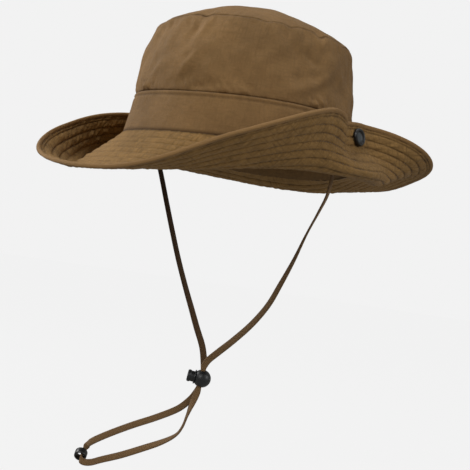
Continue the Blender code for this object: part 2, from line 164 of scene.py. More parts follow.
def oval(length, width, azimuth):
    """Level points of an oval, one for each azimuth."""
    turn = np.radians(azimuth)
    return np.stack([width / 2 * np.sin(turn), -length / 2 * np.cos(turn), 0.0 * turn], -1)


def outward(azimuth):
    """Level directions square to the crown's base oval."""
    turn = np.radians(azimuth)
    way = np.stack([np.sin(turn) / BASE_WIDTH, -np.cos(turn) / BASE_LENGTH, 0.0 * turn], -1)
    return way / np.linalg.norm(way, axis=-1, keepdims=True)


def seam_drop(azimuth):
    """How far the top seam is pulled down by its puckers."""
    return sum(drop * hill(turn_between(azimuth, middle), spread)
               for middle, spread, drop in TOP_PUCKERS)


def seam_heights(azimuth):
    """Heights of the base, band and top seams."""
    turn = np.radians(azimuth)
    base = -BASE_SWAY * np.cos(2 * turn)
    band = BAND_HEIGHT - BAND_SWAY * np.cos(2 * turn)
    smooth_top = (CROWN_HEIGHT + TOP_SWAY * np.cos(2 * turn)
                  - TOP_TILT * np.cos(turn) + TOP_LEAN * np.sin(turn))
    return base, band, smooth_top - seam_drop(azimuth)


def grain(x, y, seed):
    """Smooth noise from -1 to 1 at each pair of coordinates."""
    flat = np.array([noise.noise(Vector((a, b, seed))) for a, b in zip(np.ravel(x), np.ravel(y))])
    return flat.reshape(np.shape(x)) * NOISE_GAIN


def around_noise(azimuth, height, pitch, tall, seed):
    """Noise that closes round the crown; pitch and tall are its grain in metres."""
    turn = np.radians(azimuth)
    radius = CROWN_RADIUS / pitch
    flat = np.array([noise.noise(Vector((radius * np.sin(a), radius * np.cos(a), b / tall + seed)))
                     for a, b in zip(np.ravel(turn), np.ravel(height))])
    return flat.reshape(np.shape(azimuth)) * NOISE_GAIN


def held_near(distance, peak):
    """Rises from a seam to 1 at the peak's distance and fades beyond it."""
    share = np.maximum(distance, 0.0) / peak
    return (share * np.exp(1.0 - share)) ** 2


def soft_fold(azimuth, rise, fold):
    """One ridge or valley of the crown's side, tapered towards both ends."""
    first_turn, first_rise, last_turn, last_rise, spread, height = fold
    across = np.radians(turn_between(azimuth, first_turn)) * CROWN_RADIUS
    up = (rise - first_rise) * SIDE_HEIGHT
    run_across = radians(turn_between(last_turn, first_turn)) * CROWN_RADIUS
    run_up = (last_rise - first_rise) * SIDE_HEIGHT
    length = (run_across**2 + run_up**2) ** 0.5
    along = (across * run_across + up * run_up) / length**2
    aside = (across * run_up - up * run_across) / length
    beyond = np.maximum(np.maximum(-along, along - 1.0), 0.0) * length
    taper = 0.55 + 0.45 * np.sin(pi * np.clip(along, 0.0, 1.0))
    return height * taper * np.exp(-(aside / spread) ** 2 - (beyond / spread) ** 2)


def side_relief(azimuth, rise):
    """How far the side's cloth stands out from its smooth form."""
    up = rise * SIDE_HEIGHT
    down = (1.0 - rise) * SIDE_HEIGHT
    relief = FOLD_STRENGTH * sum(soft_fold(azimuth, rise, fold) for fold in SIDE_FOLDS)
    for middle, level, spread, tall, depth in SOFT_DENTS:
        turn = turn_between(azimuth, middle)
        relief = relief - depth * np.exp(-(turn / spread) ** 2 - ((rise - level) / tall) ** 2)
    relief = relief * np.clip(np.sin(pi * np.clip(rise, 0.02, 0.98)), 0.0, 1.0) ** 0.35
    for height, pitch, tall, seed in SIDE_CRINKLES:
        relief += height * around_noise(azimuth, up, pitch, tall, seed) * np.sin(pi * rise) ** 0.5
    fullness = 0.9 + 0.7 * around_noise(azimuth, 0.0 * up, 0.020, 0.020, 4.4)
    gathers = 1.5 * np.abs(around_noise(azimuth + GATHER_SLANT * up, up, 0.0050, 0.0100, 5.3)) - 0.30
    relief += BAND_GATHERS * gathers * fullness * held_near(up, BAND_GATHER_REACH)
    gathers = around_noise(azimuth - GATHER_SLANT * down, down, 0.0052, 0.012, 6.9)
    relief += TOP_GATHERS * gathers * held_near(down, TOP_GATHER_REACH)
    relief -= SEAM_TUCK * hill(up, SEAM_ROLL)
    relief -= SEAM_TUCK * hill(down, SEAM_ROLL)
    return relief


def side_skin(azimuth, rise, depth):
    """Points of the side's cloth; depth is how far below its outer face they lie."""
    band, top = seam_heights(azimuth)[1:]
    share = rise[..., None] ** SHOULDER_ROUNDNESS
    place = oval(BAND_LENGTH, BAND_WIDTH, azimuth) * (1 - share)
    place += oval(TOP_LENGTH, TOP_WIDTH, azimuth) * share
    place[..., 2] = band + (top - band) * rise
    lean = pi / 4 * rise
    face = outward(azimuth) * np.cos(lean)[..., None]
    face[..., 2] = np.sin(lean)
    return place + face * (side_relief(azimuth, rise) - depth)[..., None]


def sew_up(name, across, up, shape, flat, held=None):
    """A grid of cloth put where shape(u, v) says, closed where its edges meet,
    with the cloth's own flat coordinates, in metres, as its UV map. Where held
    is given, it sets, from 0 to 1, the painted shade at seams and rows of stitches."""
    bpy.ops.object.select_all(action="DESELECT")
    bpy.ops.mesh.primitive_grid_add(x_subdivisions=across, y_subdivisions=up, size=1.0)
    piece = bpy.context.object
    piece.name = piece.data.name = name
    mesh = piece.data
    rest = np.empty(len(mesh.vertices) * 3)
    mesh.vertices.foreach_get("co", rest)
    rest = rest.reshape(-1, 3) + 0.5
    corners = np.empty(len(mesh.loops), dtype=np.int32)
    mesh.loops.foreach_get("vertex_index", corners)
    laid = np.stack(flat(rest[:, 0], rest[:, 1]), -1)[corners]
    mesh.uv_layers[0].name = "cloth"
    mesh.uv_layers["cloth"].data.foreach_set("uv", laid.ravel())
    mesh.vertices.foreach_set("co", shape(rest[:, 0], rest[:, 1]).ravel())
    if held:
        mesh.attributes.new("held", "FLOAT", "POINT").data.foreach_set("value", held(rest[:, 0], rest[:, 1]))
    mesh.update()
    bpy.ops.object.mode_set(mode="EDIT")
    bpy.ops.mesh.select_all(action="SELECT")
    bpy.ops.mesh.remove_doubles(threshold=0.000001)
    bpy.ops.mesh.faces_shade_smooth()
    bpy.ops.object.mode_set(mode="OBJECT")
    return piece


def two_skins(v, rows, lining):
    """Splits the rows of a grid into an outer face and a plainer lining behind it.
    Gives the share of the way up the cloth and whether a row is in the lining."""
    row = np.round(v * (rows + lining)).astype(int)
    behind = row > rows
    back = (rows + lining - 1 - row) / (lining - 2)
    level = np.where(behind, np.minimum(back, 1.0), row / rows)
    closing = row == rows + lining
    return np.where(closing, 0.0, level), behind & ~closing


def crown_side_shape(u, v):
    rise, behind = two_skins(v, SIDE_UP, SIDE_LINING)
    edge = SEAM_GAP / SIDE_HEIGHT
    return side_skin(azimuth_at(u), edge + rise * (1 - 2 * edge), np.where(behind, CLOTH, 0.0))


def crown_side_flat(u, v):
    rise = two_skins(v, SIDE_UP, SIDE_LINING)[0]
    return u * 2 * pi * CROWN_RADIUS, rise * SIDE_HEIGHT


def seam_shade(azimuth, distance, reach):
    """A thin uneven line of painted shade where cloth turns into a seam."""
    # Noise makes the painted shade uneven along the seam.
    worn = 0.65 + 0.5 * around_noise(azimuth, 0.0 * distance, 0.0038, 0.01, 12.0)
    return np.clip(worn * hill(distance, reach), 0.0, 1.0)


# Painted shade along the side's seams at the band and the top.
def crown_side_held(u, v):
    rise, behind = two_skins(v, SIDE_UP, SIDE_LINING)
    edge = np.minimum(rise, 1.0 - rise) * SIDE_HEIGHT
    return np.where(behind, 0.0, SEAM_SHADE_DARKNESS * seam_shade(azimuth_at(u), edge, SEAM_LINE))


def new_finish(name):
    """A new material, with its node tree and its shader."""
    made = bpy.data.materials.new(name)
    made.use_nodes = True
    return made, made.node_tree, made.node_tree.nodes["Principled BSDF"]


def dial(node, values):
    for name, value in values.items():
        node.inputs[name].default_value = value


def toned(colour, share, lift=0.0):
    """A colour made lighter or darker."""
    return tuple(c * share + lift for c in colour)


def link(tree, start, end):
    tree.links.new(start, end)


def object_place(tree):
    return tree.nodes.new("ShaderNodeTexCoord").outputs["Object"]


def cloth_map(tree):
    """The cloth's flat coordinates, together and one by one."""
    laid = tree.nodes.new("ShaderNodeUVMap")
    laid.uv_map = "cloth"
    split = tree.nodes.new("ShaderNodeSeparateXYZ")
    link(tree, laid.outputs["UV"], split.inputs["Vector"])
    return laid.outputs["UV"], split.outputs["X"], split.outputs["Y"]


def math_node(tree, operation, first, second):
    made = tree.nodes.new("ShaderNodeMath")
    made.operation = operation
    for socket, value in zip(made.inputs, (first, second)):
        if isinstance(value, (int, float)):
            socket.default_value = value
        else:
            link(tree, value, socket)
    return made.outputs[0]


def waves(tree, place, pitch):
    """A sine along one coordinate."""
    return math_node(tree, "SINE", math_node(tree, "MULTIPLY", place, 2 * pi / pitch), 0.0)


def speckle(tree, place, scale, detail, roughness=0.5):
    made = tree.nodes.new("ShaderNodeTexNoise")
    dial(made, {"Scale": scale, "Detail": detail, "Roughness": roughness})
    link(tree, place, made.inputs["Vector"])
    return made.outputs["Fac"]


def bump(tree, height, depth, under=None):
    made = tree.nodes.new("ShaderNodeBump")
    dial(made, {"Strength": 1.0, "Distance": depth})
    link(tree, height, made.inputs["Height"])
    if under:
        link(tree, under, made.inputs["Normal"])
    return made.outputs["Normal"]


def shades(tree, factor, stops):
    """A colour ramp through (position, colour) stops."""
    made = tree.nodes.new("ShaderNodeValToRGB")
    ramp = made.color_ramp
    while len(ramp.elements) < len(stops):
        ramp.elements.new(0.5)
    for element, (position, colour) in zip(ramp.elements, stops):
        element.position = position
        element.color = (*colour, 1.0)
    link(tree, factor, made.inputs["Fac"])
    return made.outputs["Color"]


def multiplied(tree, first, second):
    """One colour multiplied by another."""
    made = tree.nodes.new("ShaderNodeMix")
    made.data_type = "RGBA"
    made.blend_type = "MULTIPLY"
    made.inputs[0].default_value = 1.0
    link(tree, first, made.inputs[6])
    link(tree, second, made.inputs[7])
    return made.outputs[2]


def spread_between(tree, factor, low, high):
    made = tree.nodes.new("ShaderNodeMapRange")
    dial(made, {"To Min": low, "To Max": high})
    link(tree, factor, made.inputs["Value"])
    return made.outputs["Result"]


def streaks(tree, place, along, across):
    """Uneven threads: noise drawn out along one way of the cloth."""
    stretch = tree.nodes.new("ShaderNodeVectorMath")
    stretch.operation = "MULTIPLY"
    stretch.inputs[1].default_value = (along, across, 1.0)
    link(tree, place, stretch.inputs[0])
    return speckle(tree, stretch.outputs[0], 1.0, 2.0, 0.55)


def woven_cloth(name, colour, thread=0.00042, crinkle=0.00034, rumple=0.0011, slub=0.24, hatch=0.3):
    """Plain-woven nylon. The weave lies on the cloth's own flat coordinates, and
    painted shade darkens the cloth where it's drawn into a seam or a row of stitches."""
    made, tree, shader = new_finish(name)
    laid, across, along = cloth_map(tree)
    solid = object_place(tree)
    weave = math_node(tree, "MULTIPLY", waves(tree, across, thread), waves(tree, along, thread))
    cloud = speckle(tree, solid, 22.0, 3.0)
    fleck = speckle(tree, laid, 420.0, 3.0, 0.7)
    slubs = math_node(tree, "MINIMUM", streaks(tree, laid, 90.0, 620.0), streaks(tree, laid, 620.0, 90.0))
    tone = math_node(tree, "ADD", math_node(tree, "MULTIPLY", cloud, 0.60 - hatch / 2),
                     math_node(tree, "MULTIPLY", fleck, 0.40 - hatch / 2))
    tone = math_node(tree, "ADD", tone, math_node(tree, "MULTIPLY", slubs, hatch))
    dark, light = toned(colour, 1 - slub), toned(colour, 1 + slub)
    # The held attribute sets how strongly painted shade darkens the cloth.
    drawn = tree.nodes.new("ShaderNodeAttribute")
    drawn.attribute_name = "held"
    worn = shades(tree, tone, ((0.36, dark), (0.50, colour), (0.64, light)))
    shadow = shades(tree, drawn.outputs["Fac"], ((0.0, (1.0, 1.0, 1.0)), (1.0, SEAM_SHADE_COLOUR)))
    link(tree, multiplied(tree, worn, shadow), shader.inputs["Base Color"])
    normal = bump(tree, speckle(tree, solid, 70.0, 2.0), rumple)
    normal = bump(tree, speckle(tree, solid, 210.0, 4.0, 0.66), crinkle, normal)
    normal = bump(tree, weave, thread * 0.12, normal)
    normal = bump(tree, slubs, 0.0005 * hatch, normal)
    link(tree, normal, shader.inputs["Normal"])
    link(tree, spread_between(tree, fleck, 0.66, 0.86), shader.inputs["Roughness"])
    dial(shader, {"Specular IOR Level": 0.16, "Sheen Weight": 0.03, "Sheen Roughness": 0.45})
    return made


crown_cloth = woven_cloth("brown nylon", (0.221, 0.127, 0.050))
crown_side = sew_up("crown_side_cloth", SIDE_AROUND, SIDE_UP + SIDE_LINING, crown_side_shape, crown_side_flat,
                    crown_side_held)
crown_side.data.materials.append(crown_cloth)
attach(crown_side, "hat")
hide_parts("crown_side")

# The crown's top panel: an oval of the same nylon, domed by the head and drawn
# down at its seam by the stitches that gather the side onto it.
TOP_AROUND = 360
TOP_IN = 44
TOP_LINING = 8
TOP_REACH = 0.995
PULL_REACH = 0.009
TOP_CRINKLES = (
    # height, grain and fade towards the seam in metres, seed
    (0.00070, 0.026, 0.020, 1.7),
    (0.00022, 0.008, 0.010, 4.2),
)


def top_skin(azimuth, inward, depth):
    """Points of the top panel; inward runs from its seam (0) to its middle (1)."""
    top = seam_heights(azimuth)[2]
    share = 1.0 - inward
    place = oval(TOP_LENGTH, TOP_WIDTH, azimuth) * share[..., None]
    dome = DOME_RISE * np.maximum(0.0, 1 - share**2) ** DOME_ROUNDNESS
    from_seam = inward * TOP_WIDTH / 2
    drawn = seam_drop(azimuth)
    level = top + drawn
    place[..., 2] = CROWN_HEIGHT + (level - CROWN_HEIGHT) * share + dome
    place[..., 2] -= drawn * hill(from_seam, PULL_REACH)
    x, y = place[..., 0], place[..., 1]
    relief = np.zeros_like(x)
    for height, pitch, fade, seed in TOP_CRINKLES:
        relief += height * grain(x / pitch, y / pitch, seed) * np.minimum(from_seam / fade, 1.0)
    gathers = around_noise(azimuth, from_seam * 0.3, 0.0065, 0.02, 9.4)
    relief += 0.00050 * gathers * held_near(from_seam, TOP_GATHER_REACH)
    relief -= SEAM_TUCK * hill(from_seam, SEAM_ROLL)
    lean = pi / 4 * (1 + np.minimum(1.0, inward * 2))
    face = outward(azimuth) * np.cos(lean)[..., None]
    face[..., 2] = np.sin(lean)
    return place + face * (relief - depth)[..., None]


def crown_top_shape(u, v):
    inward, behind = two_skins(v, TOP_IN, TOP_LINING)
    edge = 2 * SEAM_GAP / TOP_WIDTH
    inward = edge + inward * (TOP_REACH - edge)
    place = top_skin(azimuth_at(u), inward, np.where(behind, CLOTH, 0.0))
    middle = inward > TOP_REACH - 0.0001
    heights = place[middle & ~behind, 2].mean(), place[middle & behind, 2].mean()
    place[middle, :2] = 0.0
    place[middle, 2] = np.where(behind[middle], heights[1], heights[0])
    return place


def crown_top_flat(u, v):
    inward = two_skins(v, TOP_IN, TOP_LINING)[0]
    laid = oval(TOP_LENGTH, TOP_WIDTH, azimuth_at(u)) * (1.0 - inward)[..., None]
    return laid[..., 0], laid[..., 1]


# Painted shade along the top panel's seam.
def crown_top_held(u, v):
    inward, behind = two_skins(v, TOP_IN, TOP_LINING)
    edge = inward * TOP_WIDTH / 2
    return np.where(behind, 0.0, SEAM_SHADE_DARKNESS * seam_shade(azimuth_at(u), edge, SEAM_LINE))


crown_top = sew_up("crown_top_cloth", TOP_AROUND, TOP_IN + TOP_LINING, crown_top_shape, crown_top_flat,
                   crown_top_held)
crown_top.data.materials.append(crown_cloth)
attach(crown_top, "hat")
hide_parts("crown_top")

# The band: a plain strip of the same nylon below the side. Its upper edge is
# turned over and topstitched, which leaves a low roll between seam and stitches.
BAND_AROUND = 420
BAND_UP = 34
BAND_LINING = 6
TOPSTITCH = 0.0032
STITCH_SINK = 0.00045
STITCH_GROOVE = 0.0007
ROLL_RISE = 0.00055
ROLL_WIDTH = 0.0011
SEAM_LAP = 0.0016
SEAM_LAP_REACH = 0.0012
LINING_LAP = 0.0036
LINING_LAP_REACH = 0.0040
LINING_INSET = 0.0016
LINING_INSET_REACH = 0.0060
BASE_TUCK = 0.0007
BASE_LINE = 0.0016
BAND_CRINKLES = (
    # height, grain round the crown and grain up it in metres, seed
    (0.0006, 0.040, 0.020, 7.7),
    (0.00016, 0.010, 0.010, 1.2),
)


def band_relief(azimuth, rise):
    """How far the band's cloth stands out from its smooth form."""
    up = rise * BAND_HEIGHT
    down = BAND_HEIGHT - up
    relief = ROLL_RISE * hill(down - 0.5 * TOPSTITCH, ROLL_WIDTH)
    relief -= STITCH_SINK * hill(down - TOPSTITCH, STITCH_GROOVE)
    relief -= SEAM_TUCK * 0.7 * hill(down, 0.0008)
    gathers = around_noise(azimuth, up * 0.4, 0.0050, 0.020, 2.6)
    relief += 0.00028 * gathers * held_near(down - TOPSTITCH, 0.0028)
    for height, pitch, tall, seed in BAND_CRINKLES:
        relief += height * around_noise(azimuth, up, pitch, tall, seed) * np.sin(pi * rise)
    relief -= BASE_TUCK * hill(up, SEAM_LINE)
    return relief


def band_skin(azimuth, rise, depth):
    """Points of the band; rise runs from the brim's seam (0) to the side's (1)."""
    base, band = seam_heights(azimuth)[:2]
    share = rise[..., None]
    place = oval(BASE_LENGTH, BASE_WIDTH, azimuth) * (1 - share)
    place += oval(BAND_LENGTH, BAND_WIDTH, azimuth) * share
    place[..., 2] = base + (band - base) * rise
    inside = np.where(depth > 0, 1.0, 0.0)
    up = rise * BAND_HEIGHT
    place[..., 2] -= inside * LINING_LAP * hill(up, LINING_LAP_REACH)
    place[..., 2] -= (1 - inside) * SEAM_LAP * hill(up, SEAM_LAP_REACH)
    inset = depth + inside * LINING_INSET * hill(up, LINING_INSET_REACH)
    return place + outward(azimuth) * (band_relief(azimuth, rise) - inset)[..., None]


def crown_band_shape(u, v):
    rise, behind = two_skins(v, BAND_UP, BAND_LINING)
    edge = SEAM_GAP / BAND_HEIGHT
    return band_skin(azimuth_at(u), rise * (1 - edge), np.where(behind, CLOTH, 0.0))


def crown_band_flat(u, v):
    rise = two_skins(v, BAND_UP, BAND_LINING)[0]
    return u * 2 * pi * CROWN_RADIUS, rise * BAND_HEIGHT


# Painted shade along the band's seam, its topstitching and the brim's seam below it.
def crown_band_held(u, v):
    rise, behind = two_skins(v, BAND_UP, BAND_LINING)
    azimuth = azimuth_at(u)
    down = (1 - rise) * BAND_HEIGHT
    lines = 0.3 * seam_shade(azimuth, down, STITCH_GROOVE)
    lines += 0.3 * seam_shade(azimuth, down - TOPSTITCH, STITCH_GROOVE)
    return np.where(behind, 0.0, lines + hill(rise * BAND_HEIGHT, BASE_LINE))


crown_band = sew_up("crown_band_cloth", BAND_AROUND, BAND_UP + BAND_LINING, crown_band_shape, crown_band_flat,
                    crown_band_held)
crown_band.data.materials.append(crown_cloth)
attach(crown_band, "hat")
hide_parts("crown_band")

# The topstitching along the band's upper edge: a run of short thread stitches
# in matching polyester, each pulled a little into the cloth.
STITCH_LENGTH = 0.0024
STITCH_GAP = 0.0007
THREAD = 0.00046


def one_stitch():
    """A single stitch along X, as thick as the thread, with tapered ends."""
    bpy.ops.object.select_all(action="DESELECT")
    bpy.ops.mesh.primitive_uv_sphere_add(segments=4, ring_count=3, radius=0.5, rotation=(0, pi / 2, 0))
    bpy.ops.object.transform_apply(location=False, rotation=True, scale=False)
    piece = bpy.context.object
    corners = np.array([vertex.co for vertex in piece.data.vertices])
    faces = [tuple(polygon.vertices) for polygon in piece.data.polygons]
    bpy.data.objects.remove(piece)
    return corners, faces


def read_along(at, run, points):
    """Points of a line read at distances along it."""
    return np.stack([np.interp(at, run, points[:, k]) for k in range(3)], -1)


def add_object(name, data):
    made = bpy.data.objects.new(name, data)
    bpy.context.scene.collection.objects.link(made)
    return made


def stitch_run(name, lines, finish):
    """Lays stitches along lines; each line is (points, faces out), both N by 3."""
    corners, faces = one_stitch()
    pitch = STITCH_LENGTH + STITCH_GAP
    placed = []
    for points, out in lines:
        steps = np.linalg.norm(np.diff(points, axis=0), axis=1)
        run = np.concatenate([[0.0], np.cumsum(steps)])
        count = int(run[-1] / pitch)
        starts = np.arange(count) * run[-1] / count
        ends = starts + STITCH_LENGTH
        first, last = read_along(starts, run, points), read_along(ends, run, points)
        face = read_along((starts + ends) / 2, run, out)
        along = last - first
        length = np.linalg.norm(along, axis=1, keepdims=True)
        along /= length
        side = np.cross(face, along)
        side /= np.linalg.norm(side, axis=1, keepdims=True)
        face = np.cross(along, side)
        middle = (first + last) / 2 + face * THREAD * 0.15
        placed.append(middle[:, None] + corners[None, :, :1] * (along * length)[:, None]
                      + corners[None, :, 1:2] * (side * THREAD)[:, None]
                      + corners[None, :, 2:] * (face * THREAD * 0.8)[:, None])
    placed = np.concatenate(placed).reshape(-1, 3)
    copies = len(placed) // len(corners)
    polygons = [tuple(index + copy * len(corners) for index in face)
                for copy in range(copies) for face in faces]
    mesh = bpy.data.meshes.new(name)
    mesh.from_pydata(placed.tolist(), [], polygons)
    mesh.shade_smooth()
    mesh.materials.append(finish)
    piece = add_object(name, mesh)
    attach(piece, "hat")
    return piece


def thread_finish(name, colour):
    """Twisted polyester thread: a slight shine and a fine twist."""
    made, tree, shader = new_finish(name)
    solid = object_place(tree)
    worn = speckle(tree, solid, 300.0, 2.0)
    link(tree, shades(tree, worn, ((0.3, toned(colour, 0.8)), (0.7, colour))), shader.inputs["Base Color"])
    link(tree, bump(tree, speckle(tree, solid, 2600.0, 1.0), 0.00004), shader.inputs["Normal"])
    dial(shader, {"Roughness": 0.6, "Sheen Weight": 0.2})
    return made


brown_thread = thread_finish("brown thread", (0.090, 0.050, 0.022))
around = np.linspace(-180.0, 180.0, 1441)
stitch_rise = np.full_like(around, 1 - TOPSTITCH / BAND_HEIGHT)
band_line = (band_skin(around, stitch_rise, 0.0), outward(around))
band_stitches = stitch_run("band_topstitch", [band_line], brown_thread)

# The brim: two layers of the nylon over a soft stiffener, quilted together by
# ten rings of stitches. It falls at front and back and turns up at both sides,
# where the snaps pinch it against the crown.
BRIM_WIDTH = 0.0767
BINDING_WIDTH = 0.0034
BINDING_THICKNESS = 0.0034
BEND_SHARE = 0.149
BRIM_CLOTH = 0.0028
BRIM_GAP = 0.0003
SNAP_AZIMUTH = 101.0
SNAP_DISTANCE = 0.0640
SEAT_ANGLE = 4.8
SEAT_TURN = 20.0
PINCH_FRONT_LEFT = 30.9
PINCH_FRONT_RIGHT = 4.6
PINCH_BACK = 12.4
PINCH_START = 0.38
PINCH_END = 0.73
STAND_OFF = 0.0046
ROW_PITCH = 0.0069
EDGE_ROW = 0.0057
ROWS = 10
BRIM_AROUND = 1080
BRIM_LINING = 9
MEASURE_STEPS = 60
QUILT_PINCHED = 0.00015
QUILT_FULL = 0.00155
QUILT_ROUNDNESS = 0.50
HEM_TUCK = 0.0014
SEAM_LIFT = 0.00035
SEAM_LIFT_REACH = 0.002
LINING_DEPTH = 0.00012
SAG = 0.0007
ROW_LINE = 0.00070
EDGE_LINE = 0.0008
LAST_ROW = BRIM_WIDTH - EDGE_ROW
FIRST_ROW = LAST_ROW - ROW_PITCH * (ROWS - 1)
BRIM_HEM = BRIM_WIDTH - BINDING_WIDTH + HEM_TUCK
BRIM_STATIONS = (
    # azimuth, slope at the seam, slope at the edge in degrees, place of the bend as a share of the width
    (-145, -24.5, 49.6, 0.327),
    (-115, -18.5, 90.3, 0.433),
    (-85, -22.5, 113.6, 0.512),
    (-60, -40.2, 69.4, 0.580),
    (-30, -42.3, 13.8, 0.649),
    (0, -40.5, -8.5, 0.612),
    (30, -50.1, 27.6, 0.420),
    (60, -50.3, 56.5, 0.317),
    (85, -30.9, 63.4, 0.390),
    (115, -30.2, 57.7, 0.323),
    (145, 7.5, 8.4, 0.435),
    (180, -37.3, 19.4, 0.244),
)


def catmull(before, first, second, after, t):
    """Smooth value between first and second; each is (place, value)."""
    span = second[0] - first[0]
    leave = (second[1] - before[1]) / (second[0] - before[0]) * span
    arrive = (after[1] - first[1]) / (after[0] - first[0]) * span
    return ((2 * t**3 - 3 * t**2 + 1) * first[1] + (t**3 - 2 * t**2 + t) * leave
            + (3 * t**2 - 2 * t**3) * second[1] + (t**3 - t**2) * arrive)


def station_values(column, azimuths):
    """A column of the brim's stations, read smoothly at each azimuth."""
    places = [row[0] for row in BRIM_STATIONS]
    count = len(places)
    values = []
    for azimuth in azimuths:
        azimuth = (azimuth + 180.0) % 360.0 - 180.0
        here = bisect_right(places, azimuth) - 1
        near = [(places[i % count] + 360 * (i // count), BRIM_STATIONS[i % count][column])
                for i in range(here - 1, here + 3)]
        values.append(catmull(*near, (azimuth - near[1][0]) / (near[2][0] - near[1][0])))
    return np.array(values)


def smooth(share):
    """Eases from 0 to 1, level at both."""
    share = np.clip(share, 0.0, 1.0)
    return share * share * (3 - 2 * share)


def brim_lines(azimuths):
    """The brim's middle surface: for each azimuth a line of points from seam to edge."""
    drop, rise = (np.radians(station_values(column, azimuths))[:, None] for column in (1, 2))
    bend = station_values(3, azimuths)[:, None]
    side = outward(azimuths)
    seam = oval(BASE_LENGTH, BASE_WIDTH, azimuths)
    lean = ((seam - oval(BAND_LENGTH, BAND_WIDTH, azimuths)) * side).sum(-1, keepdims=True) / BAND_HEIGHT
    share = np.linspace(0.0, 1.0, MEASURE_STEPS + 1)[None]
    slope = drop + (rise - drop) * smooth((share - bend + BEND_SHARE) / (2 * BEND_SHARE))
    step = BRIM_WIDTH / MEASURE_STEPS
    reach = np.cos(slope) * step
    height = np.sin(slope) * step
    reach[:, :1] = BRIM_CLOTH / 2 * np.sin(drop) - BRIM_GAP
    height[:, :1] = seam_heights(azimuths)[0][:, None] - BRIM_GAP - BRIM_CLOTH / 2 * np.cos(drop)
    reach, height = np.cumsum(reach, axis=1), np.cumsum(height, axis=1)
    behind = np.abs(turn_between(azimuths, 0.0)) - SNAP_AZIMUTH
    front = np.where(turn_between(azimuths, 0.0) > 0, PINCH_FRONT_LEFT, PINCH_FRONT_RIGHT)
    past = np.where(behind < 0, (behind + SEAT_ANGLE) / front, (behind - SEAT_ANGLE) / PINCH_BACK)
    held = np.where(np.abs(behind) > SEAT_ANGLE, np.exp(-past**2), 1.0)[:, None]
    across = np.clip(behind + SEAT_ANGLE, 0.0, 2 * SEAT_ANGLE)[:, None]
    seat = np.radians(across) * BASE_WIDTH / 2 * np.tan(radians(SEAT_TURN))
    against = STAND_OFF + seat - lean * np.minimum(height, BAND_HEIGHT)
    pinch = held * smooth((share - PINCH_START) / (PINCH_END - PINCH_START))
    place = seam[:, None] + side[:, None] * (reach * (1 - pinch) + against * pinch)[..., None]
    place[..., 2] += height
    return place


def brim_surface(azimuths, distance):
    """Places and upward faces of the brim at each azimuth and each distance."""
    places = brim_lines(azimuths)
    measured = np.linspace(0.0, BRIM_WIDTH, MEASURE_STEPS + 1)
    out = np.gradient(places, axis=1)
    along = brim_lines(azimuths + 0.25) - brim_lines(azimuths - 0.25)
    face = np.cross(out, along)
    face /= np.linalg.norm(face, axis=-1, keepdims=True)
    index = np.clip(np.searchsorted(measured, distance) - 1, 0, MEASURE_STEPS - 1)
    share = ((distance - measured[index]) / (measured[1] - measured[0]))[None, :, None]
    place = places[:, index] * (1 - share) + places[:, index + 1] * share
    normal = face[:, index] * (1 - share) + face[:, index + 1] * share
    return place, normal / np.linalg.norm(normal, axis=-1, keepdims=True)


def cloth_levels():
    """Distances of the cloth's rings of points, closest together at the rows of stitches."""
    inner = [FIRST_ROW * share for share in (0.0, 0.07, 0.17, 0.34, 0.54, 0.74, 0.88, 0.95)]
    between = [FIRST_ROW + ROW_PITCH * (row + share) for row in range(ROWS - 1)
               for share in (0.0, 0.065, 0.17, 0.36, 0.64, 0.83, 0.935)]
    outer = [LAST_ROW + (BRIM_HEM - LAST_ROW) * share for share in (0.0, 0.12, 0.32, 0.66, 1.0)]
    return np.array(inner + between + outer)


def quilt_wave(distance):
    """0 at a row of stitches and 1 midway between two."""
    count = (LAST_ROW - distance) / ROW_PITCH
    inner = np.minimum(np.maximum(count, -0.5), ROWS - 0.5)
    return np.abs(np.sin(pi * inner))


def brim_flat(azimuth, distance):
    """Where a point of the brim lies on the cloth it was cut from."""
    turn = np.radians(azimuth)
    across = (BASE_WIDTH / 2 + distance) * np.sin(turn)
    down = -(BASE_LENGTH / 2 + distance) * np.cos(turn)
    return across, down


def pucker(azimuth, distance, pitch, tall, slant, seed):
    """Ripples of the cloth between the rows, drawn out away from the crown."""
    turn = np.radians(azimuth + np.degrees(slant * distance / 0.14))
    radius = (0.094 + 0.6 * distance) / pitch
    channel = np.floor((LAST_ROW - distance) / ROW_PITCH)
    shift = seed + distance / tall + channel * 0.37
    flat = [noise.noise(Vector((r * np.sin(t), r * np.cos(t), z)))
            for r, t, z in zip(np.ravel(radius), np.ravel(turn), np.ravel(shift))]
    return np.array(flat).reshape(np.shape(turn)) * 1.7


def brim_relief(azimuth, distance, upper):
    """Thickness of the quilt on one side of its middle, with puckers."""
    wave = quilt_wave(distance)
    edge = smooth((distance - 0.020) / 0.050)
    sides = np.sin(np.radians(azimuth)) ** 2
    if upper:
        depth = 0.00026 + 0.00095 * edge * sides
        puff = 0.55 + 0.45 * sides
        ripple = 1.5 * np.abs(pucker(azimuth, distance, 0.0032, 0.012, 0.25, 11.0)) - 0.5
        ripple += 0.6 * pucker(azimuth, distance, 0.0036, 0.016, 0.9, 17.0)
    else:
        depth = 0.00034 + 0.00062 * edge * sides
        puff = 0.85
        ripple = 0.7 * pucker(azimuth, distance, 0.0025, 0.014, -0.9, 23.0)
        ripple += 0.7 * pucker(azimuth, distance, 0.0044, 0.018, -0.7, 29.0)
    full = QUILT_PINCHED + (QUILT_FULL - QUILT_PINCHED) * (1 - puff + puff * wave**QUILT_ROUNDNESS)
    relief = full + depth * ripple * (0.35 + 0.65 * wave)
    tucked = smooth((distance - BRIM_WIDTH + BINDING_WIDTH + 0.0022) / 0.0024)
    relief -= 0.55 * relief * tucked
    return relief + SEAM_LIFT * (1.0 - smooth(distance / SEAM_LIFT_REACH))


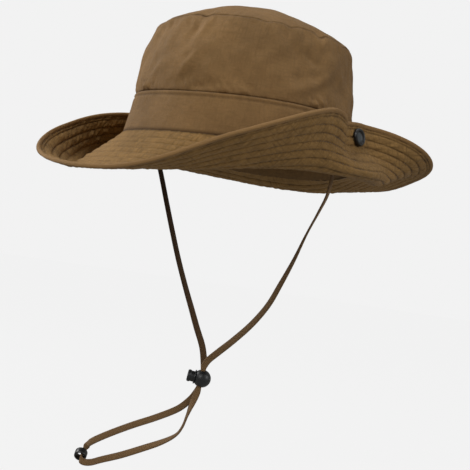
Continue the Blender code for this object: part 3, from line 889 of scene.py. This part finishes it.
def brim_layer(upper):
    """The shape and flat layout of one layer of the brim, as functions of u and v."""
    azimuths = np.linspace(-180.0, 180.0, BRIM_AROUND + 1)
    rings = cloth_levels()
    side = 1.0 if upper else -1.0

    def levels(v):
        level, behind = two_skins(v, len(rings) - 1, BRIM_LINING)
        level = 1.0 - level if upper else level
        return np.interp(level, np.linspace(0.0, 1.0, len(rings)), rings), behind

    def shape(u, v):
        distance, behind = levels(v)
        azimuth = azimuth_at(u)
        grid_distance = np.unique(np.round(distance, 9))
        places, faces = brim_surface(azimuths, grid_distance)
        column = np.round(u * BRIM_AROUND).astype(int)
        row = np.searchsorted(grid_distance, np.round(distance, 9))
        row = np.minimum(row, len(grid_distance) - 1)
        proud = brim_relief(azimuth, distance, upper)
        sag = SAG * around_noise(azimuth, distance, 0.045, 0.050, 31.0) * smooth(distance / 0.03)
        sag *= 1.0 - smooth((distance - BRIM_HEM + 0.010) / 0.010)
        lift = np.where(behind, side * LINING_DEPTH, side * proud) + sag
        return places[column, row] + faces[column, row] * lift[:, None]

    def flat(u, v):
        return brim_flat(azimuth_at(u), levels(v)[0])

    # Painted shade along the rows of stitches, at the crown's seam and where the binding meets the cloth.
    def held(u, v):
        distance, behind = levels(v)
        azimuth = azimuth_at(u)
        from_row = (0.5 - np.abs(0.5 - (LAST_ROW - distance) / ROW_PITCH % 1.0)) * ROW_PITCH
        from_row = np.where(distance < LAST_ROW - ROW_PITCH * (ROWS - 0.5), ROW_PITCH, from_row)
        edge_line = seam_shade(azimuth, BRIM_WIDTH - BINDING_WIDTH - distance, EDGE_LINE)
        sides = np.sin(np.radians(azimuth)) ** 2 if upper else 1.0
        row_line = (0.22 + 0.30 * sides) * seam_shade(azimuth, from_row, ROW_LINE)
        crown_line = 0.9 * hill(distance, SEAM_LINE)
        return np.where(behind, 0.0, np.maximum(np.maximum(row_line, crown_line), 0.8 * edge_line))

    return shape, flat, held


brim_nylon = woven_cloth("quilted nylon", (0.252, 0.144, 0.048), crinkle=0.00042, rumple=0.0006,
                         slub=0.32, hatch=0.6)
brim_rows = len(cloth_levels()) - 1 + BRIM_LINING
for layer, upper in (("brim_upper_cloth", True), ("brim_under_cloth", False)):
    brim = sew_up(layer, BRIM_AROUND, brim_rows, *brim_layer(upper))
    brim.data.materials.append(brim_nylon)
    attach(brim, "hat")
    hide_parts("brim")

# The quilting thread: ten rings of stitches through both layers of the brim,
# seen on its upper side and its under side.
row_distances = np.array([LAST_ROW - ROW_PITCH * row for row in range(ROWS)])[::-1]
places, faces = brim_surface(around, row_distances)
for name, side in (("quilting_upper", 1.0), ("quilting_under", -1.0)):
    lines = [(places[:, row] + faces[:, row] * side * QUILT_PINCHED, faces[:, row] * side)
             for row in range(ROWS)]
    quilting = stitch_run(name, lines, brown_thread)

# The edge binding: a strip of the nylon folded round the brim's raw edge and
# sewn through, so that it forms a thin firm roll.
BINDING_SIDES = 20
BINDING_AROUND = 1080
BINDING_LENGTH = 1.07


def rounded(wave, power):
    """A sine or cosine pushed out towards -1 and 1, for a squarer section."""
    return np.sign(wave) * np.abs(wave) ** power


def binding_shape(u, v):
    azimuths = np.linspace(-180.0, 180.0, BINDING_AROUND + 1)
    places, faces = brim_surface(azimuths, np.array([BRIM_WIDTH - BINDING_WIDTH, BRIM_WIDTH]))
    column = np.round(u * BINDING_AROUND).astype(int)
    hem, edge, face = places[column, 0], places[column, 1], faces[column, 0]
    out = edge - hem
    out /= np.linalg.norm(out, axis=1, keepdims=True)
    turn = 2 * pi * v
    half = BINDING_WIDTH / 2
    puff = 1 + 0.07 * around_noise(azimuth_at(u), 0.002 * np.sin(turn), 0.0032, 0.010, 41.0)
    x = half * (1 + rounded(np.cos(turn), 0.8))
    y = BINDING_THICKNESS / 2 * puff * rounded(np.sin(turn), 0.8)
    y *= 0.82 + 0.18 * np.cos(turn)
    return hem + out * (x + BRIM_GAP / 2)[:, None] + face * y[:, None]


def binding_flat(u, v):
    return u * BINDING_LENGTH, v * 2 * pi * BINDING_WIDTH / 2


binding_nylon = woven_cloth("binding nylon", (0.250, 0.143, 0.055), thread=0.00036, rumple=0.0003, slub=0.10)
edge_binding = sew_up("edge_binding_tape", BINDING_AROUND, BINDING_SIDES, binding_shape, binding_flat)
edge_binding.data.materials.append(binding_nylon)
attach(edge_binding, "hat")
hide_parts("edge_binding")

# The snaps: black moulded caps with a dished middle and a rounded rim, pressed
# through the brim. Each closes on a plain metal post behind it.
SNAP_DIAMETER = 0.0140
SNAP_HEIGHT = 0.0030
SNAP_LIFT = 0.0003
DISH_SHARE = 0.60
CAP_PROFILE = (
    # share of the radius, share of the height
    (0.0, 0.42), (0.30, 0.40), (0.52, 0.41), (0.63, 0.50), (0.69, 0.72), (0.74, 0.90), (0.80, 0.99),
    (0.87, 0.99), (0.94, 0.86), (0.985, 0.62), (1.0, 0.36), (0.985, 0.10), (0.94, 0.0), (0.0, 0.0),
)


def moulded_plastic(name, colour, roughness):
    """Injection-moulded black plastic with a fine matt grain and lighter dusty flecks."""
    made, tree, shader = new_finish(name)
    solid = object_place(tree)
    dust = speckle(tree, solid, 420.0, 4.0, 0.6)
    light = toned(colour, 1.9, 0.002)
    link(tree, shades(tree, dust, ((0.35, colour), (0.75, light))), shader.inputs["Base Color"])
    rough = spread_between(tree, dust, roughness - 0.08, roughness + 0.14)
    link(tree, rough, shader.inputs["Roughness"])
    link(tree, bump(tree, speckle(tree, solid, 2200.0, 2.0), 0.00002), shader.inputs["Normal"])
    dial(shader, {"Specular IOR Level": 0.5})
    return made


def nickel(name):
    """Plated steel with light scuffs."""
    made, tree, shader = new_finish(name)
    scuff = speckle(tree, object_place(tree), 900.0, 3.0)
    metal = shades(tree, scuff, ((0.3, (0.30, 0.30, 0.31)), (0.7, (0.52, 0.51, 0.49))))
    link(tree, metal, shader.inputs["Base Color"])
    link(tree, bump(tree, scuff, 0.00002), shader.inputs["Normal"])
    dial(shader, {"Metallic": 1.0, "Roughness": 0.38})
    return made


def make_active(piece):
    """Leaves one object selected, for the operators that follow."""
    bpy.ops.object.select_all(action="DESELECT")
    piece.select_set(True)
    bpy.context.view_layer.objects.active = piece


def turn_round(name, profile, segments, matrix):
    """A closed profile of (radius, height) pairs spun round Z, then put in place."""
    mesh = bpy.data.meshes.new(name)
    count = len(profile)
    mesh.from_pydata([(radius, 0.0, height) for radius, height in profile],
                     [(i, (i + 1) % count) for i in range(count)], [])
    piece = add_object(name, mesh)
    make_active(piece)
    bpy.ops.object.mode_set(mode="EDIT")
    bpy.ops.mesh.select_all(action="SELECT")
    bpy.ops.mesh.spin(steps=segments, angle=2 * pi, center=(0, 0, 0), axis=(0, 0, 1))
    bpy.ops.mesh.select_all(action="SELECT")
    bpy.ops.mesh.remove_doubles(threshold=0.000005)
    bpy.ops.mesh.normals_make_consistent(inside=False)
    bpy.ops.object.mode_set(mode="OBJECT")
    mesh.transform(matrix)
    bpy.ops.object.shade_smooth_by_angle(angle=radians(35))
    return piece


def snap_frame(sign):
    """Matrix whose Z points out of the brim at a snap, away from the crown."""
    place, face = brim_surface(np.array([sign * SNAP_AZIMUTH]), np.array([SNAP_DISTANCE]))
    face = -Vector(face[0, 0])
    across = face.cross(Vector((0, 0, 1))).normalized()
    rotation = Matrix((across, face.cross(across), face)).transposed().to_4x4()
    return Matrix.Translation(Vector(place[0, 0])) @ rotation


black_cap = moulded_plastic("black cap", (0.0050, 0.0058, 0.0066), 0.34)
cap_dish = moulded_plastic("black cap dish", (0.0260, 0.0330, 0.0370), 0.50)
cap_radius = SNAP_DIAMETER / 2
cap_profile = [(cap_radius * across, SNAP_HEIGHT * up) for across, up in CAP_PROFILE]
for side, sign in (("left", 1), ("right", -1)):
    lift = Matrix.Translation((0, 0, QUILT_FULL + SNAP_LIFT))
    cap = turn_round(f"snap_cap_{side}_dished", cap_profile, 56, snap_frame(sign) @ lift)
    cap.data.materials.append(black_cap)
    cap.data.materials.append(cap_dish)
    middle = Vector(snap_frame(sign).translation)
    for polygon in cap.data.polygons:
        polygon.material_index = int((polygon.center - middle).length < DISH_SHARE * cap_radius)
    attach(cap, "hat")
    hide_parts(f"snap_cap_{side}")

post_metal = nickel("nickel post")
for side in ("left", "right"):
    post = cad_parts[f"snap_stud_{side}"]
    post.data.materials.clear()
    post.data.materials.append(post_metal)

# The chin cord: one flat braided cord, sewn in behind the crown's side seams.
# It runs down through the lock, round a loop through the ring, and back up.
CORD_WIDTH = 0.0053
CORD_THICKNESS = 0.0018
CORD_STEP = 0.0009
CORD_SIDES = 16
LOCK_SQUEEZE = 0.0034
LOCK_SWELL = 0.0024
LOCK_REACH = 0.0085
STRAND_PITCH = 0.00095
STEPS_BETWEEN = 24
# Painted shade on the cord: the far run is darkened as if it hung in shadow.
CORD_PAINTED_SHADE = (
    # share of the cord's length, tone
    (0.62, (1.0, 1.0, 1.0)),
    (0.74, (0.50, 0.46, 0.42)),
    (0.95, (0.30, 0.27, 0.24)),
)
LOCK_PLACE = Vector((-0.0038, 0.0, -0.1793))
CORD_ROUTE = (
    (0.0825, 0.0, 0.006), (0.0825, 0.0, -0.004), (0.0826, 0.0, -0.015), (0.0808, 0.0, -0.027),
    (0.0760, 0.0, -0.0395), (0.0684, 0.0, -0.0575), (0.0610, 0.0, -0.078), (0.0526, 0.0, -0.0978),
    (0.0448, 0.0, -0.1145), (0.0335, -0.0002, -0.1305), (0.0200, -0.0005, -0.145), (0.0080, -0.0009, -0.1565),
    (0.0006, -0.0012, -0.1638), (-0.0026, -0.00125, -0.169), (-0.0031, -0.0013, -0.1728),
    (-0.00375, -0.00166, -0.1793), (-0.00445, -0.00205, -0.1866), (-0.0056, -0.0025, -0.193),
    (-0.0080, -0.0034, -0.2015), (-0.0098, -0.0046, -0.210), (-0.0116, -0.0060, -0.2186),
    (-0.0152, -0.0082, -0.2256), (-0.0234, -0.0130, -0.2322), (-0.0352, -0.0196, -0.239),
    (-0.0496, -0.0280, -0.2468), (-0.0614, -0.0362, -0.2522), (-0.0674, -0.0420, -0.2552),
    (-0.0716, -0.0454, -0.2555), (-0.0746, -0.0459, -0.254), (-0.0764, -0.0424, -0.2512),
    (-0.0784, -0.0382, -0.2483), (-0.0778, -0.0357, -0.2446), (-0.0730, -0.0360, -0.2402),
    (-0.0620, -0.0312, -0.2326), (-0.0470, -0.0236, -0.2234), (-0.0314, -0.0146, -0.2146),
    (-0.0182, -0.0064, -0.2058), (-0.0112, -0.0020, -0.1978), (-0.0076, -0.0002, -0.1916),
    (-0.00595, 0.0005, -0.1866), (-0.00525, 0.00085, -0.1793), (-0.00455, 0.0012, -0.1726),
    (-0.0050, 0.0010, -0.166), (-0.0082, 0.0006, -0.1545), (-0.0154, 0.0002, -0.141), (-0.0226, 0.0, -0.127),
    (-0.0316, 0.0, -0.110), (-0.0420, 0.0, -0.089), (-0.0520, 0.0, -0.0665), (-0.0616, 0.0, -0.044),
    (-0.0704, 0.0, -0.023), (-0.0770, 0.0, -0.0085), (-0.0818, 0.0, -0.0005), (-0.0825, 0.0, 0.006),
)
CORD_WAYS = (
    # point of the route, and the way that the cord's width lies there
    (0, (0.0, 1.0, 0.0)),
    (3, (-0.15, 1.0, 0.0)),
    (5, (-0.50, 0.87, 0.0)),
    (7, (-0.93, 0.36, 0.0)),
    (8, (-0.96, 0.26, 0.0)),
    (9, (-0.99, 0.16, 0.0)),
    (10, (-1.0, 0.0, 0.0)),
    (12, (-0.89, -0.45, 0.1)),
    (15, (-0.86, -0.50, 0.1)),
    (17, (-0.86, -0.35, 0.1)),
    (19, (-0.60, 0.75, 0.1)),
    (21, (-0.35, 0.85, 0.35)),
    (23, (-0.10, 0.35, 0.95)),
    (25, (0.0, 0.0, 1.0)),
    (31, (0.0, 0.1, 1.0)),
    (34, (-0.30, -0.15, 0.95)),
    (37, (-0.80, -0.45, 0.5)),
    (40, (-0.86, -0.50, 0.1)),
    (43, (-0.70, -0.72, 0.0)),
    (46, (-0.35, -0.94, 0.0)),
    (53, (-0.10, -1.0, 0.0)),
)


def cord_line():
    """Places along the cord at even steps, and its width's way at each."""
    route = [Vector(point) for point in CORD_ROUTE]
    route = [2 * route[0] - route[1]] + route + [2 * route[-1] - route[-2]]
    fine, marks = [], []
    for index, (before, first, second, after) in enumerate(zip(route, route[1:], route[2:], route[3:])):
        for step in range(STEPS_BETWEEN):
            t = step / STEPS_BETWEEN
            fine.append(0.5 * (2 * first + (second - before) * t
                               + (2 * before - 5 * first + 4 * second - after) * t**2
                               + (3 * first - before - 3 * second + after) * t**3))
            marks.append(index + t)
    fine.append(route[-2])
    marks.append(len(CORD_ROUTE) - 1)
    fine = np.array(fine)
    run = np.concatenate([[0.0], np.cumsum(np.linalg.norm(np.diff(fine, axis=0), axis=1))])
    even = np.linspace(0.0, run[-1], int(run[-1] / CORD_STEP) + 1)
    mark = np.interp(even, run, marks)
    way = read_along(mark, [row[0] for row in CORD_WAYS], np.array([row[1] for row in CORD_WAYS]))
    kernel = np.hanning(13) / np.hanning(13).sum()
    way = np.stack([np.convolve(np.pad(way[:, k], 6, mode="edge"), kernel, mode="valid")
                    for k in range(3)], -1)
    return read_along(even, run, fine), way, even


cord_places, cord_ways, cord_run = cord_line()
cord_tangents = np.gradient(cord_places, axis=0)
cord_tangents /= np.linalg.norm(cord_tangents, axis=1, keepdims=True)
cord_ways -= cord_tangents * (cord_ways * cord_tangents).sum(1, keepdims=True)
cord_ways /= np.linalg.norm(cord_ways, axis=1, keepdims=True)
cord_faces = np.cross(cord_tangents, cord_ways)
in_lock = np.exp(-((np.linalg.norm(cord_places - np.array(LOCK_PLACE), axis=1) / LOCK_REACH) ** 4))
cord_wide = CORD_WIDTH + (LOCK_SQUEEZE - CORD_WIDTH) * in_lock
cord_thick = CORD_THICKNESS + (LOCK_SWELL - CORD_THICKNESS) * in_lock


def cord_shape(u, v):
    row = np.round(v * (len(cord_places) - 1)).astype(int)
    turn = -2 * pi * u
    x = rounded(np.cos(turn), 0.55) * cord_wide[row] / 2
    y = rounded(np.sin(turn), 0.75) * cord_thick[row] / 2
    y *= 1 - 0.12 * np.cos(turn) ** 8
    return cord_places[row] + cord_ways[row] * x[:, None] + cord_faces[row] * y[:, None]


def cord_flat(u, v):
    return u * 2 * (CORD_WIDTH + CORD_THICKNESS), v * cord_run[-1]


def braided_cord(name, colour, length):
    """Flat polyester braid: slanted strands that cross, matt with a little sheen.
    The run that hangs from the far seam is darkened with painted shade."""
    made, tree, shader = new_finish(name)
    laid, across, along = cloth_map(tree)
    first = waves(tree, math_node(tree, "ADD", across, along), STRAND_PITCH)
    second = waves(tree, math_node(tree, "SUBTRACT", across, along), STRAND_PITCH)
    braid = math_node(tree, "MULTIPLY", first, second)
    fuzz = speckle(tree, laid, 1500.0, 3.0, 0.6)
    tone = math_node(tree, "ADD", math_node(tree, "MULTIPLY", braid, 0.16), fuzz)
    strands = shades(tree, tone, ((0.25, toned(colour, 0.72)), (0.5, colour), (0.8, toned(colour, 1.22))))
    # Painted shade darkens the far run of the cord.
    painted_shade = shades(tree, math_node(tree, "DIVIDE", along, length), CORD_PAINTED_SHADE)
    link(tree, multiplied(tree, strands, painted_shade), shader.inputs["Base Color"])
    normal = bump(tree, fuzz, 0.00006)
    link(tree, bump(tree, braid, 0.00012, normal), shader.inputs["Normal"])
    dial(shader, {"Roughness": 0.78, "Specular IOR Level": 0.25,
                  "Sheen Weight": 0.10, "Sheen Roughness": 0.5})
    return made


def close_ends(piece):
    """Fills the two open ends of a tube."""
    make_active(piece)
    bpy.ops.object.mode_set(mode="EDIT")
    bpy.ops.mesh.select_all(action="DESELECT")
    bpy.ops.mesh.select_mode(type="EDGE")
    bpy.ops.mesh.select_non_manifold()
    bpy.ops.mesh.edge_face_add()
    bpy.ops.object.mode_set(mode="OBJECT")


chin_cord = sew_up("chin_cord_braid", CORD_SIDES, len(cord_places) - 1, cord_shape, cord_flat)
close_ends(chin_cord)
chin_cord.data.materials.append(braided_cord("brown braid", (0.205, 0.118, 0.050), float(cord_run[-1])))
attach(chin_cord, "hat")
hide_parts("chin_cord")

# The cord lock: a moulded ball, bored for its sprung button and slotted for the
# two runs of cord, with a low collar round the bore.
LOCK_DIAMETER = 0.0140
LOCK_TURN = 30.0
LOCK_TILT = 6.0
PLUNGER_DIAMETER = 0.0084
BUTTON_DIAMETER = 0.0094
BUTTON_HEIGHT = 0.0028
BUTTON_REACH = 0.0118
BUTTON_TRAVEL = 0.0020
HOLE_OFFSET = 0.0008
SLOT_HALF_WIDTH = 0.0018
SLOT_HALF_DEPTH = 0.00335
PLUNGER_PLAY = 0.0003
STEM_WALL = 0.0012
BORE_SPARE = 0.0004
lock_frame = (Matrix.Translation(LOCK_PLACE) @ Matrix.Rotation(radians(LOCK_TURN), 4, "Z")
              @ Matrix.Rotation(radians(LOCK_TILT), 4, "Y"))
black_lock = moulded_plastic("black lock", (0.0070, 0.0082, 0.0095), 0.36)


def cut_away(target, tool):
    """Cuts one solid out of another and removes the tool."""
    make_active(target)
    cut = target.modifiers.new("Cut", "BOOLEAN")
    cut.operation = "DIFFERENCE"
    cut.solver = "EXACT"
    cut.object = tool
    bpy.ops.object.modifier_apply(modifier=cut.name)
    bpy.data.objects.remove(tool)


def slot_tool(room=0.0):
    """The slot for both runs of cord in the lock's own frame; room widens it towards the button."""
    low = Vector((-HOLE_OFFSET - SLOT_HALF_WIDTH - room, -SLOT_HALF_DEPTH, -LOCK_DIAMETER))
    high = Vector((-HOLE_OFFSET + SLOT_HALF_WIDTH, SLOT_HALF_DEPTH, LOCK_DIAMETER))
    bpy.ops.object.select_all(action="DESELECT")
    bpy.ops.mesh.primitive_cube_add(size=1.0)
    tool = bpy.context.object
    tool.data.transform(Matrix.Translation((low + high) / 2) @ Matrix.Diagonal((*(high - low), 1.0)))
    bpy.ops.object.mode_set(mode="EDIT")
    bpy.ops.mesh.select_all(action="SELECT")
    bpy.ops.mesh.bevel(offset=0.0006, segments=3, affect="EDGES")
    bpy.ops.object.mode_set(mode="OBJECT")
    return tool


radius = LOCK_DIAMETER / 2
mouth = PLUNGER_DIAMETER / 2 + PLUNGER_PLAY
stem_end = SLOT_HALF_WIDTH - HOLE_OFFSET + STEM_WALL
bore_end = stem_end + BUTTON_TRAVEL + BORE_SPARE
shoulder = (radius**2 - mouth**2) ** 0.5
ball = [(radius * float(np.sin(a)), radius * float(np.cos(a))) for a in np.linspace(0.0, pi - 0.74, 22)]
lock_profile = ball + [(mouth + 0.0011, -shoulder - 0.0002), (mouth + 0.0009, -shoulder - 0.0008),
                       (mouth + 0.0003, -shoulder - 0.0010), (mouth, -shoulder - 0.0006), (mouth, bore_end),
                       (0.0, bore_end)]
lock_body = turn_round("lock_ball", lock_profile, 64, Matrix.Rotation(pi / 2, 4, "Y"))
cut_away(lock_body, slot_tool())
lock_body.data.transform(lock_frame)
lock_body.data.materials.append(black_lock)
bpy.ops.object.shade_smooth_by_angle(angle=radians(35))
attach(lock_body, "hat")
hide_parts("lock_body")

# The lock's button: the flanged head and slotted stem of the sprung plunger,
# which is pushed into the ball to free the cord.
stem = PLUNGER_DIAMETER / 2
head = BUTTON_DIAMETER / 2
flange = BUTTON_REACH - BUTTON_HEIGHT
plunger_profile = [(0.0, BUTTON_REACH - 0.0004), (head * 0.45, BUTTON_REACH - 0.0003),
                   (head * 0.62, BUTTON_REACH - 0.00005), (head * 0.80, BUTTON_REACH),
                   (head * 0.93, BUTTON_REACH - 0.0003), (head, BUTTON_REACH - 0.0009),
                   (head, flange + 0.0008), (head * 0.94, flange + 0.0002), (stem, flange),
                   (stem, -stem_end + 0.0003), (stem - 0.0003, -stem_end), (0.0, -stem_end)]
plunger = turn_round("lock_button", plunger_profile, 48, Matrix.Rotation(-pi / 2, 4, "Y"))
cut_away(plunger, slot_tool(BUTTON_TRAVEL))
plunger.data.transform(lock_frame)
plunger.data.materials.append(black_lock)
bpy.ops.object.shade_smooth_by_angle(angle=radians(35))
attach(plunger, "lock_plunger")
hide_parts("lock_plunger")

# The loop's ring: a short black tube with rounded lips that keeps the loop's
# end together.
RING_DIAMETER = 0.0098
RING_BORE = 0.0066
RING_LENGTH = 0.0056
RING_PLACE = Vector((-0.0774, -0.0429, -0.2509))
RING_AXIS = Vector((0.37, -0.72, -0.53))
outer = RING_DIAMETER / 2
bore = RING_BORE / 2
half = RING_LENGTH / 2
lip = (outer - bore) / 2
ring_profile = []
for middle, start in ((half - lip, 0.0), (lip - half, pi)):
    for step in range(9):
        turn = start + pi * step / 8
        ring_profile.append((bore + lip + lip * float(np.cos(turn)), middle + lip * float(np.sin(turn))))
ring_aim = RING_AXIS.to_track_quat("Z", "Y").to_matrix().to_4x4()
loop_ring = turn_round("loop_ring_tube", ring_profile, 48, Matrix.Translation(RING_PLACE) @ ring_aim)
loop_ring.data.materials.append(moulded_plastic("black ring", (0.0065, 0.0070, 0.0075), 0.30))
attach(loop_ring, "hat")
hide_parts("loop_ring")

# The studio: a pale floor without a visible edge, soft panels of light from the
# front and the left, weak ones from above and the right, and light from all round.
FLOOR_HEIGHT = -0.300
FLOOR_RADIUS = 12.0
FLOOR_GLOW = 0.985
PALE = (0.888, 0.888, 0.888)
FILL_TINT = (1.0, 0.97, 0.91)
FILL_STRENGTH = 0.34
LIGHTS_AIM = Vector((0, 0, 0.02))
bpy.ops.object.select_all(action="DESELECT")
bpy.ops.mesh.primitive_circle_add(vertices=96, radius=FLOOR_RADIUS, fill_type="NGON",
                                  location=(0, 0, FLOOR_HEIGHT))
floor = bpy.context.object
floor.name = "floor"
floor_paint, floor_shader = new_finish("pale floor")[::2]
dial(floor_shader, {"Base Color": (0.02, 0.02, 0.02, 1.0), "Roughness": 1.0, "Specular IOR Level": 0.0,
                    "Emission Color": (*PALE, 1.0), "Emission Strength": FLOOR_GLOW})
floor.data.materials.append(floor_paint)
floor.visible_diffuse = False
floor.visible_glossy = False

studio = bpy.data.worlds.new("studio")
bpy.context.scene.world = studio
studio.use_nodes = True
sky = studio.node_tree
seen = sky.nodes.new("ShaderNodeBackground")
dial(seen, {"Color": (*PALE, 1.0), "Strength": 1.0})
fill = sky.nodes["Background"]
dial(fill, {"Color": (*FILL_TINT, 1.0), "Strength": FILL_STRENGTH})
path = sky.nodes.new("ShaderNodeLightPath")
choice = sky.nodes.new("ShaderNodeMixShader")
link(sky, path.outputs["Is Camera Ray"], choice.inputs["Fac"])
link(sky, fill.outputs["Background"], choice.inputs[1])
link(sky, seen.outputs["Background"], choice.inputs[2])
link(sky, choice.outputs["Shader"], sky.nodes["World Output"].inputs["Surface"])


def soft_light(name, place, size, power):
    """A square panel of light aimed at the crown."""
    lamp = bpy.data.lights.new(name, "AREA")
    lamp.size = size
    lamp.energy = power
    made = add_object(name, lamp)
    made.location = place
    made.rotation_euler = (LIGHTS_AIM - Vector(place)).to_track_quat("-Z", "Y").to_euler()


soft_light("front", (0.0, -1.50, 1.00), 0.8, 15.0)
soft_light("top", (0.0, 0.10, 1.60), 0.8, 3.0)
soft_light("left", (-1.50, -0.30, 0.80), 0.7, 15.0)
soft_light("right", (1.50, 0.20, 0.50), 0.7, 6.5)

# The camera: low, ahead of the wearer's left, tipped a little to one side.
CAMERA_PLACE = Vector((0.3868, -0.6557, -0.0916))
CAMERA_LOOK = Vector((-0.5007, 0.8648, 0.0360))
CAMERA_ROLL = 8.25
CAMERA_LENS = 74.17
lens = bpy.data.cameras.new("camera")
lens.lens = CAMERA_LENS
lens.sensor_width = 36.0
lens.clip_start = 0.01
camera = add_object("camera", lens)
camera.location = CAMERA_PLACE
level = CAMERA_LOOK.to_track_quat("-Z", "Y")
camera.rotation_euler = (level @ Quaternion((0, 0, 1), radians(CAMERA_ROLL))).to_euler()
bpy.context.scene.camera = camera
bpy.context.scene.view_settings.view_transform = "Standard"

bpy.context.view_layer.update()
